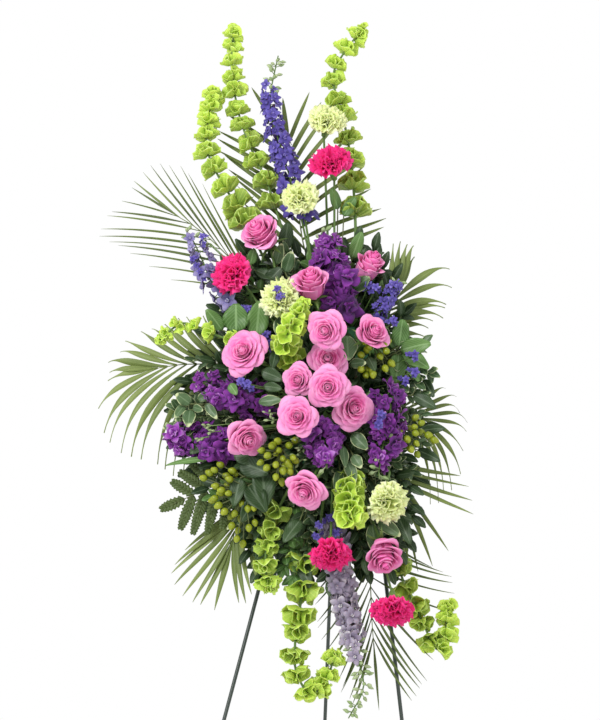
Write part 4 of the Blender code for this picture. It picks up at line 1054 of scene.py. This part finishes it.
def grow_frond(body, places, start, sides, bow, tail, looks):
    """A rib with leaflets down both sides and one at its end."""
    width, denser, outline, droop, twist, tones = looks
    route = stem_route([at(place) for place in places])
    stem(palm_ribs, route, 24, 1.9, 1.2)
    begin = (HOLE_DEPTH + start) * MM
    for tips in sides:
        goals = [at(tip) for tip in tips]
        count = round(denser * len(tips))
        for k in range(count):
            mark = begin + (route.length - begin) * (k + 0.4) / count
            tip = between(goals, k / (count - 1)) + Vector([rng.uniform(-5, 5) * MM for _ in range(3)])
            blade(body, route.point(mark), tip, route.heading(mark), bow, width * rng.uniform(0.8, 1.1) * MM,
                  outline, FORWARD, roll=rng.uniform(-twist, twist), fold=LEAFLET_FOLD,
                  cells=LEAFLET_CELLS, droop=droop * rng.uniform(0.6, 1.3), tone=rng.uniform(*tones))
    end = route.point(route.length)
    heading = route.heading(route.length)
    blade(body, end - heading * 2 * MM, end + heading * tail * MM, heading, 0, width * MM, outline,
          FORWARD, fold=LEAFLET_FOLD, cells=LEAFLET_CELLS, droop=droop, tone=rng.uniform(*tones))


LEAFLET_FOLD = 0.45
LEAFLET_CELLS = (2, 14)


# width of a leaflet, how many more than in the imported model, outline, droop, twist, tones
PALM_LOOKS = [
    (8.0, 1.25, strap, -0.04, 0.3, (0.55, 1.0)),
    (4.2, 1.6, dart, 0.0, 0.8, (0.1, 0.8)),
    (11.0, 1.3, whip, 0.12, 0.25, (0.6, 1.0)),
    (11.0, 1.5, dart, 0.05, 0.35, (0.6, 1.0)),
    (5.2, 1.5, dart, 0.0, 0.8, (0.0, 0.4)),
    (12.5, 1.4, whip, 0.12, 0.25, (0.5, 0.95)),
    (7.5, 1.3, whip, 0.30, 0.3, (0.5, 0.95)),
    (8.5, 1.5, dart, 0.02, 0.5, (0.5, 1.0)),
]


palm_ribs = new_body()
for k, ((places, start, left, right, bow, tail), looks) in enumerate(zip(PALMS, PALM_LOOKS)):
    body = new_body()
    grow_frond(body, places, start, (left, right), bow, tail, looks)
    name = f"palm_frond_{k + 1}"
    finish_piece(f"{name}_leaflets", body, palm_skin, PETAL, [name])
finish_piece("palm_ribs", palm_ribs, palm_skin)
print("palm fronds", len(PALMS))

# %% [markdown]
# Leatherleaf fern is divided twice: each side branch carries its own row of blunt leaflets, so it
# reads as lace at the edge of the spray. Variegated pittosporum fills the gaps with small oval
# leaves that have a cream border.

# %% The fern and the pittosporum
# places of the stem, where the branches begin, tips at the left and right, and for the fern a tail
FERN = ([(-80, 58, 1080), (-150, 58, 1075), (-215, 60, 1060), (-262, 60, 1040)], 75,
        [(-150, 64, 1018), (-182, 62, 1000), (-214, 60, 985), (-244, 58, 980), (-270, 56, 990)],
        [(-176, 52, 1118), (-208, 52, 1112), (-240, 52, 1100), (-268, 54, 1088), (-284, 54, 1068)], 44)
LEAVES = [
    ([(60, 68, 1150), (66, 70, 1125), (58, 72, 1095), (34, 76, 1066)], 42,
     [(88, 88, 1128), (84, 92, 1098), (62, 94, 1064), (28, 94, 1040)],
     [(20, 96, 1140), (8, 98, 1112), (-8, 98, 1086), (-20, 92, 1062)]),
    ([(-89, 70, 1180), (-170, 78, 1176), (-222, 80, 1178), (-256, 78, 1172)], 90,
     [(-206, 88, 1150), (-238, 88, 1146), (-262, 86, 1148), (-284, 82, 1160)],
     [(-196, 84, 1198), (-228, 84, 1204), (-258, 82, 1204), (-280, 80, 1190)]),
    ([(46, 66, 1240), (76, 72, 1264), (94, 74, 1272), (104, 74, 1268)], 50,
     [(70, 80, 1306), (100, 78, 1314), (134, 76, 1300)],
     [(96, 84, 1226), (124, 84, 1228), (146, 80, 1246)]),
]


def oval(v):
    """A leaf that is widest in the middle."""
    return sin(pi * min(0.04 + 0.93 * v ** 0.85, 1)) ** 0.75 + 0.03


def blunt(v):
    """A fern's leaflet, nearly as wide at its end."""
    return 0.7 + 0.3 * sin(pi * v * 0.85)


twigs = new_body()
body = new_body()
places, start, left, right, tail = FERN
route = stem_route([at(place) for place in places])
stem(twigs, route, 20, 1.7, 1.0)
begin = (HOLE_DEPTH + start) * MM
branches = []
for tips in (left, right):
    goals = [at(tip) for tip in tips]
    for k in range(6):
        mark = begin + (route.length - begin) * (k + 0.3) / 6
        branches.append((route.point(mark), between(goals, k / 5)))
end = route.point(route.length)
branches.append((end, end + route.heading(route.length) * tail * MM))
for root, tip in branches:
    reach = (tip - root).length
    heading = (tip - root).normalized()
    stalk(twigs, [root, root.lerp(tip, 0.5), tip], [0.7 * MM, 0.5 * MM, 0.3 * MM], 4, 0.4)
    across = heading.cross(FORWARD).normalized()
    blade(body, root, tip, heading, 0.0, 5.5 * MM, dart, FORWARD, cells=(2, 8), tone=0.4)
    rows = max(7, int(reach / (5.6 * MM)))
    for j in range(rows):
        share = (j + 0.4) / rows
        foot = root.lerp(tip, share)
        size = (0.30 + 0.70 * sin(pi * (0.25 + 0.7 * share))) * 13 * MM
        for side in (-1, 1):
            goal = foot + (across * side + heading * 1.05).normalized() * size
            blade(body, foot, goal, heading, 0.10, 5.8 * MM, blunt, FORWARD, roll=rng.uniform(-0.12, 0.12),
                  cells=(1, 3), tone=rng.uniform(0.35, 0.65))
finish_piece("leatherleaf_fern_leaflets", body, fern_skin, PETAL, ["leatherleaf_fern"])


def leafy(leaves, route, size, wide, begin, gap, cells=(4, 6), wave=0.2):
    """Pairs of leaves up a twig from a distance on, and one at its tip."""
    distance = begin
    turn = rng.uniform(0, 6)
    while distance < route.length:
        heading = route.heading(distance)
        root = route.point(distance)
        share = distance / route.length
        facing = (heading * 0.4 + FORWARD * 1.4 + Vector((0, 0, 0.4))).normalized()
        for j in range(2):
            side = spoke(heading, turn + pi * j + rng.uniform(-0.3, 0.3))
            length = size * rng.uniform(0.8, 1.15) * (1 - 0.25 * share) * MM
            way = (side + heading * rng.uniform(0.5, 1.1) + FORWARD * 0.25).normalized()
            blade(leaves, root, root + way * length, heading, 0.12, length * wide, oval, facing,
                  roll=rng.uniform(-0.5, 0.5), fold=0.2, wave=wave, droop=0.06, cells=cells,
                  tone=rng.uniform(0.15, 0.9))
        turn += 1.6
        distance += gap * MM
    end = route.point(route.length)
    heading = route.heading(route.length)
    blade(leaves, end - heading * MM, end + (heading + FORWARD * 0.3) * size * 0.8 * MM, heading, 0.1,
          size * 0.8 * wide * MM, oval, (FORWARD + Vector((0, 0, 0.5))).normalized(), fold=0.2, wave=wave,
          cells=cells, tone=rng.uniform(0.3, 0.9))


for k, (places, start, left, right) in enumerate(LEAVES):
    body = new_body()
    route = stem_route([at(place) for place in places])
    stem(twigs, route, 12, 2.0, 1.0)
    begin = (HOLE_DEPTH + start * 0.6) * MM
    leafy(body, route, 30, 0.56, begin, 19)
    for tips in (left, right):
        for j, tip in enumerate(tips):
            root = route.point(begin + (route.length - begin) * (j + 0.4) / len(tips))
            goal = root.lerp(at(tip), 0.86)
            side_twig = Route([root, root.lerp(goal, 0.5) + FORWARD * 3 * MM, goal])
            stem(twigs, side_twig, 5, 1.2, 0.6, 5)
            leafy(body, side_twig, 29, 0.58, 8 * MM, 14)
    name = f"pittosporum_{k + 1}"
    finish_piece(f"{name}_leaves", body, cream_leaf, PETAL, [name])
print("pittosporum branches", len(LEAVES))

# %% [markdown]
# Between the flowers a florist packs short leafy twigs until no foam shows. They run straight
# from the foam to a spot between the blooms and carry leaves in pairs that turn round the twig.
# Three sorts are mixed: a small variegated leaf, a broad dark one and a brighter green one.

# %% The twigs that fill the middle
# picture row, and the columns where the mass of leaves begins and ends there
EDGES = [(250, 240, 388), (300, 226, 400), (350, 200, 412), (400, 178, 422), (450, 182, 430),
         (500, 212, 418), (550, 246, 408), (585, 262, 392)]
FOAM_SEEN = (335, 400, 40, 76)   # middle column and row of the foam, and half its size
SPACING = 18
BACK_SPACING = 30
# size, width as a share of length, gap between pairs, wave
SORTS = {"cream": (26, 0.50, 12, 0.2), "broad": (38, 0.50, 16, 0.08), "bright": (30, 0.55, 15, 0.1)}
fill_bodies = {kind: new_body() for kind in SORTS}


def mass_spots(first_row, spacing, shift, margin):
    """Columns and rows at even steps over the mass of leaves, each row shifted by chance."""
    row = first_row
    while row <= EDGES[-1][0]:
        low = max(edge for edge in EDGES if edge[0] <= row)
        high = min(edge for edge in EDGES if edge[0] >= row)
        share = (row - low[0]) / max(high[0] - low[0], 1)
        column = low[1] + (high[1] - low[1]) * share + rng.uniform(*shift)
        while column <= low[2] + (high[2] - low[2]) * share - margin:
            yield column, row
            column += spacing
        row += spacing


def over_foam(column, row, margin):
    return (abs(column - FOAM_SEEN[0]) <= FOAM_SEEN[2] + margin
            and abs(row - FOAM_SEEN[1]) <= FOAM_SEEN[3] + margin)


filler_twigs = 0
for column, row in mass_spots(EDGES[0][0], SPACING, (0, SPACING * 0.5), 0):
    forward = rng.uniform(104, 122) if over_foam(column, row, 0) else rng.uniform(38, 88)
    route = stem_route([seen(column + rng.uniform(-5, 5), row + rng.uniform(-7, 7), forward)])
    stem(twigs, route, 6, 1.7, 0.9, 5)
    kind = rng.choice(("broad", "broad", "broad", "cream", "bright"))
    size, wide, gap, wave = SORTS[kind]
    begin = max(HOLE_DEPTH * MM + 5 * MM, route.length - 80 * MM)
    leafy(fill_bodies[kind], route, size, wide, begin, gap, (2, 4), wave)
    filler_twigs += 1
print("filler twigs", filler_twigs)

# %% [markdown]
# Longer dark leaves stand behind the mass, so that its edge looks full from the front and from
# behind. Others lie over the front of the foam and hide what still shows of it.

# %% Dark leaves behind and over the foam
# These dark leaves behind the mass partly stand in for the shade deep inside the spray.
for column, row in mass_spots(EDGES[0][0] + 12, BACK_SPACING, (4, BACK_SPACING * 0.6), 4):
    if not over_foam(column, row, 6):
        route = stem_route([seen(column, row + rng.uniform(-8, 8), rng.uniform(16, 34))])
        stem(twigs, route, 6, 1.8, 0.9, 5)
        begin = max(HOLE_DEPTH * MM + 4 * MM, route.length - 90 * MM)
        leafy(fill_bodies["broad"], route, 50, 0.52, begin, 20, (2, 4), 0.08)
for k in range(90):
    root = at((FOAM_CENTRE[0] + rng.uniform(-56, 56), FOAM_CENTRE[1] + FOAM_SIZE[1] / 2 + 1,
               FOAM_CENTRE[2] + rng.uniform(-112, 112)))
    angle = rng.uniform(0, 2 * pi)
    way = (Vector((cos(angle), 0, sin(angle))) + FORWARD * rng.uniform(0.25, 0.7)).normalized()
    length = rng.uniform(30, 46) * MM
    blade(fill_bodies["broad"], root - FORWARD * 5 * MM, root + way * length, FORWARD, 0.25, length * 0.55,
          oval, FORWARD, roll=rng.uniform(-0.4, 0.4), fold=0.15, wave=0.08, cells=(2, 5),
          tone=rng.uniform(0.1, 0.7))
print("leaves over the foam", k + 1)

# %% [markdown]
# The large single leaves that show between the blooms are set one by one, each on a thin stem.

# %% Large single leaves
# column, row and forward of the leaf's root, its run across and down in the picture, width, sort
SINGLE = [
    (399, 346, 100, 4, -28, 0.62, "bright"), (401, 350, 100, 30, -8, 0.54, "bright"),
    (403, 352, 98, 26, 15, 0.52, "bright"), (399, 354, 92, -3, 28, 0.60, "bright"),
    (398, 349, 92, -8, -15, 0.62, "bright"), (405, 358, 88, 14, 22, 0.50, "bright"),
    (419, 431, 104, 26, -4, 0.38, "broad"), (374, 420, 144, 18, 15, 0.60, "cream"),
    (352, 434, 150, 15, 14, 0.64, "cream"), (343, 446, 150, 2, 20, 0.42, "cream"),
    (353, 455, 150, 8, 12, 0.70, "cream"), (347, 461, 146, 8, 20, 0.50, "cream"),
    (350, 482, 132, 6, 22, 0.50, "cream"), (340, 470, 140, -4, 20, 0.46, "cream"),
    (347, 336, 150, 1, 23, 0.76, "cream"), (350, 364, 150, 16, -2, 0.58, "cream"),
    (368, 357, 146, 7, 13, 0.62, "broad"), (342, 282, 112, 9, 13, 0.62, "cream"),
    (353, 290, 110, 17, -14, 0.64, "cream"), (262, 371, 165, 21, 8, 0.60, "broad"),
    (259, 402, 168, 23, -3, 0.46, "cream"), (264, 386, 165, 18, 2, 0.50, "broad"),
    (280, 318, 120, 2, 22, 0.60, "cream"), (276, 352, 160, -4, 16, 0.56, "broad"),
    (236, 332, 112, 0, -30, 0.86, "bright"), (256, 336, 112, 4, -37, 0.58, "bright"),
    (240, 306, 90, -19, -12, 0.66, "broad"), (244, 298, 88, -22, 6, 0.60, "broad"),
    (276, 264, 84, 6, -22, 0.50, "cream"), (285, 272, 92, 7, -22, 0.56, "cream"),
    (250, 264, 80, 4, -17, 0.60, "bright"), (266, 284, 88, 16, -18, 0.62, "broad"),
    (256, 270, 84, 18, 8, 0.56, "broad"), (230, 384, 150, 7, 10, 0.70, "bright"),
    (284, 250, 70, 4, -30, 0.50, "broad"), (272, 246, 66, -8, -22, 0.50, "broad"),
    (190, 404, 106, -14, -11, 0.68, "cream"), (193, 407, 110, 10, 3, 0.62, "cream"),
    (190, 410, 108, -2, 16, 0.66, "cream"), (206, 404, 112, 11, 14, 0.46, "cream"),
    (184, 406, 100, -9, 11, 0.60, "cream"), (198, 400, 104, 14, -8, 0.56, "cream"),
    (240, 462, 118, 28, 10, 0.70, "broad"), (248, 486, 116, 18, 24, 0.66, "broad"),
    (262, 470, 112, 4, 34, 0.62, "broad"), (234, 456, 120, 32, -2, 0.60, "broad"),
    (240, 478, 112, -6, 26, 0.56, "broad"), (255, 500, 108, -14, 20, 0.60, "broad"),
    (212, 458, 100, -46, 5, 0.12, "bright"), (378, 520, 120, 22, 14, 0.52, "cream"),
    (372, 524, 116, 4, 30, 0.46, "cream"), (398, 516, 112, 12, 26, 0.46, "broad"),
    (270, 540, 90, -14, 18, 0.50, "broad"), (300, 520, 118, -16, 20, 0.56, "broad"),
    (352, 258, 80, 10, -28, 0.46, "bright"), (344, 215, 62, 12, -20, 0.50, "bright"),
    (338, 208, 60, -6, -22, 0.50, "bright"), (232, 270, 70, -12, -16, 0.50, "broad"),
    (300, 560, 84, 10, 26, 0.50, "broad"), (414, 395, 90, 22, 12, 0.50, "broad"),
    (418, 450, 86, 22, 10, 0.42, "broad"), (222, 330, 84, -16, -22, 0.50, "bright"),
    (212, 440, 96, -22, 12, 0.50, "broad"), (196, 440, 92, -20, -4, 0.50, "broad"),
    (180, 442, 70, -14, 6, 0.50, "broad"), (424, 380, 76, 10, 16, 0.50, "broad"),
]
for column, row, forward, across, down, wide, kind in SINGLE:
    root = seen(column, row, forward)
    tip = seen(column + across, row + down, forward + rng.uniform(4, 14))
    stem(twigs, stem_route([root]), 6, 1.1, 0.0, 5)
    length = (tip - root).length
    blade(fill_bodies[kind], root, tip, (tip - root).normalized(), 0.0, length * wide, oval, FORWARD,
          roll=rng.uniform(-0.35, 0.35), fold=0.16, wave=0.16, droop=0.05, cells=(6, 9),
          tone=rng.uniform(0.35, 0.9))
finish_piece("filler_variegated", fill_bodies["cream"], cream_leaf, PETAL, ())
finish_piece("filler_broad", fill_bodies["broad"], broad_leaf, PETAL, ())
finish_piece("filler_bright", fill_bodies["bright"], bright_leaf, PETAL, ())
finish_piece("leaf_twigs", twigs, wood_skin)
print("single leaves", len(SINGLE))

# %% [markdown]
# The foam brick and its tray are mostly hidden, but they show from behind. Wet foam is a dark
# green, finely pored block, and the tray is a moulded plastic of nearly the same green.

# %% Foam, tray and wire
def plain_skin(name, colour, other, roughness, grain, bump):
    """Two colours mixed by a fine noise, which also raises the surface."""
    skin = Skin(name)
    pores = skin.noise(grain, 6.0)
    return skin.finish(skin.mix(pores, (*colour, 1), (*other, 1)), pores, bump, 0.6, roughness)


foam_skin = plain_skin("wet_foam", (0.012, 0.075, 0.030), (0.030, 0.14, 0.055), 0.85, 900, 0.8)
tray_skin = plain_skin("tray_plastic", (0.010, 0.045, 0.022), (0.016, 0.06, 0.03), 0.45, 240, 0.08)
wire_skin = plain_skin("painted_wire", (0.018, 0.030, 0.024), (0.032, 0.044, 0.036), 0.36, 130, 0.12)
for node, skin in (("floral_foam", foam_skin), ("spray_tray", tray_skin)):
    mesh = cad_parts[node].data
    mesh.materials.clear()
    mesh.materials.append(skin)
print("materials", len(bpy.data.materials))

# %% [markdown]
# The easel is thin steel wire with a coat of dark green paint. One wire is bent into both front
# legs and the top bar, two crossbars are welded to it with small beads, and the back leg ends in
# an eye round the top bar, on which it folds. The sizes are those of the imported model.

# %% The easel's wires
WIRE = 6.4
BACK_WIRE = 6.0
TOP_BAR_HALF = 18.0
BEND = 6.0
FEET = {"left": -378.0, "right": 173.0}
BACK_FOOT = (-56.0, 450.0)
CROSSBAR_UP = (1262.0, 1100.0)
CROSSBAR_WIRE = 5.0
EYE_ACROSS = -4.0
EYE_CLEARANCE = 0.6
EYE_TURN = radians(250)
WELD = 4.1


def trim_feet(body):
    geometry = body.verts[:] + body.edges[:] + body.faces[:]
    bmesh.ops.bisect_plane(body, geom=geometry, plane_co=(0, 0, 0), plane_no=(0, 0, -1), clear_outer=True)
    bmesh.ops.holes_fill(body, edges=[edge for edge in body.edges if edge.is_boundary])


def design(across, back, up):
    return ORIGIN + Vector((across, back, up)) * MM


corners = []
for side, sign in (("left", -1), ("right", 1)):
    top = design(sign * TOP_BAR_HALF, 0, TOP_BAR_UP)
    foot = design(FEET[side], -FRONT_FEET_FORWARD, 0)
    down = (foot - top).normalized()
    inner = Vector((-sign, 0, 0))
    bend = [top + down * BEND * MM * (1 - t) ** 2 + inner * BEND * MM * t * t
            for t in (0, 0.25, 0.5, 0.75, 1)]
    run = [foot + down * 10 * MM, *[foot.lerp(top, share) for share in (0.25, 0.5, 0.75, 0.97)], *bend]
    corners.append((run if sign < 0 else run[::-1], top, foot))
easel = new_body()
stalk(easel, corners[0][0] + corners[1][0], [WIRE / 2 * MM] * (len(corners[0][0]) * 2), 16)
trim_feet(easel)
for up in CROSSBAR_UP:
    share = (TOP_BAR_UP - up) / TOP_BAR_UP
    ends = [top.lerp(foot, share) for _, top, foot in corners]
    stalk(easel, [ends[0], ends[0].lerp(ends[1], 0.5), ends[1]], [CROSSBAR_WIRE / 2 * MM] * 3, 14)
    for end in ends:
        bead = bmesh.ops.create_uvsphere(easel, u_segments=12, v_segments=8, radius=WELD * MM,
                                         matrix=Matrix.Translation(end))["verts"]
        for face in {face for vert in bead for face in vert.link_faces}:
            face.smooth = True
finish_piece("easel_front_wires", easel, wire_skin, 0.0, ["easel_front_frame"])

hinge = design(EYE_ACROSS, 0, TOP_BAR_UP)
foot = design(BACK_FOOT[0], BACK_FOOT[1], 0)
down = (foot - hinge).normalized()
ring = (WIRE / 2 + EYE_CLEARANCE + BACK_WIRE / 2) * MM
last = atan2(down.z, down.y) + pi / 2
turns = [last + EYE_TURN * (1 - k / 24) for k in range(25)]
eye = [hinge + Vector((0, cos(turn), sin(turn))) * ring for turn in turns]
back = new_body()
shank = [eye[-1].lerp(foot + down * 12 * MM, share) for share in (0.02, 0.25, 0.5, 0.75, 1)]
stalk(back, eye + shank, [BACK_WIRE / 2 * MM] * 30, 14)
trim_feet(back)
finish_piece("easel_back_wire", back, wire_skin, 0.0, ["easel_back_leg"], BACK_LEG)
print("easel wires done")

# %% [markdown]
# The studio is plain: a pale floor, a white surround that lights everything softly, and two large
# lamps that give the petals some shape. The camera stands level with the middle of the spray and
# far enough off that the flowers keep their true proportions.

# %% Floor, light and camera
bpy.ops.mesh.primitive_circle_add(vertices=128, radius=7.2, fill_type="NGON")
floor = bpy.context.object
floor.name = "floor"
floor_skin = bpy.data.materials.new("floor_paint")
floor_skin.use_nodes = True
floor_skin.node_tree.nodes["Principled BSDF"].inputs["Base Color"].default_value = (0.86, 0.86, 0.85, 1)
floor_skin.node_tree.nodes["Principled BSDF"].inputs["Roughness"].default_value = 0.8
floor.data.materials.append(floor_skin)

world = bpy.data.worlds.new("studio")
bpy.context.scene.world = world
world.use_nodes = True
world.node_tree.nodes["Background"].inputs["Color"].default_value = (1, 1, 1, 1)
world.node_tree.nodes["Background"].inputs["Strength"].default_value = 1.0


def lamp(name, place, aim, size, power):
    light = bpy.data.lights.new(name, "AREA")
    light.size = size
    light.energy = power
    lit = bpy.data.objects.new(name, light)
    bpy.context.scene.collection.objects.link(lit)
    lit.location = place
    lit.rotation_euler = (Vector(aim) - Vector(place)).to_track_quat("-Z", "Y").to_euler()


lamp("key_light", (-1.6, -2.8, 3.0), (0, -0.1, 1.2), 1.0, 85)
lamp("fill_light", (2.4, -2.0, 1.6), (0, -0.1, 1.2), 1.8, 10)
lamp("back_light", (0.6, 2.6, 2.6), (0, 0, 1.2), 1.6, 18)

CAMERA_AWAY = 18.0
SHARP_PLANE = -0.23
camera = bpy.data.cameras.new("camera")
camera.lens = 36 * CAMERA_AWAY / (PICTURE[1] * STEP * MM)
viewer = bpy.data.objects.new("camera", camera)
bpy.context.scene.collection.objects.link(viewer)
viewer.location = (ORIGIN.x + (PICTURE[0] / 2 - MIDDLE[0]) * STEP * MM, SHARP_PLANE - CAMERA_AWAY,
                   (MIDDLE[1] - PICTURE[1] / 2) * STEP * MM)
viewer.rotation_euler = (pi / 2, 0, 0)
bpy.context.scene.camera = viewer
bpy.context.scene.view_settings.view_transform = "Standard"
print("camera lens", round(camera.lens, 1))

# %% Sizes
print("faces before thickness", sum(pieces_made.values()))
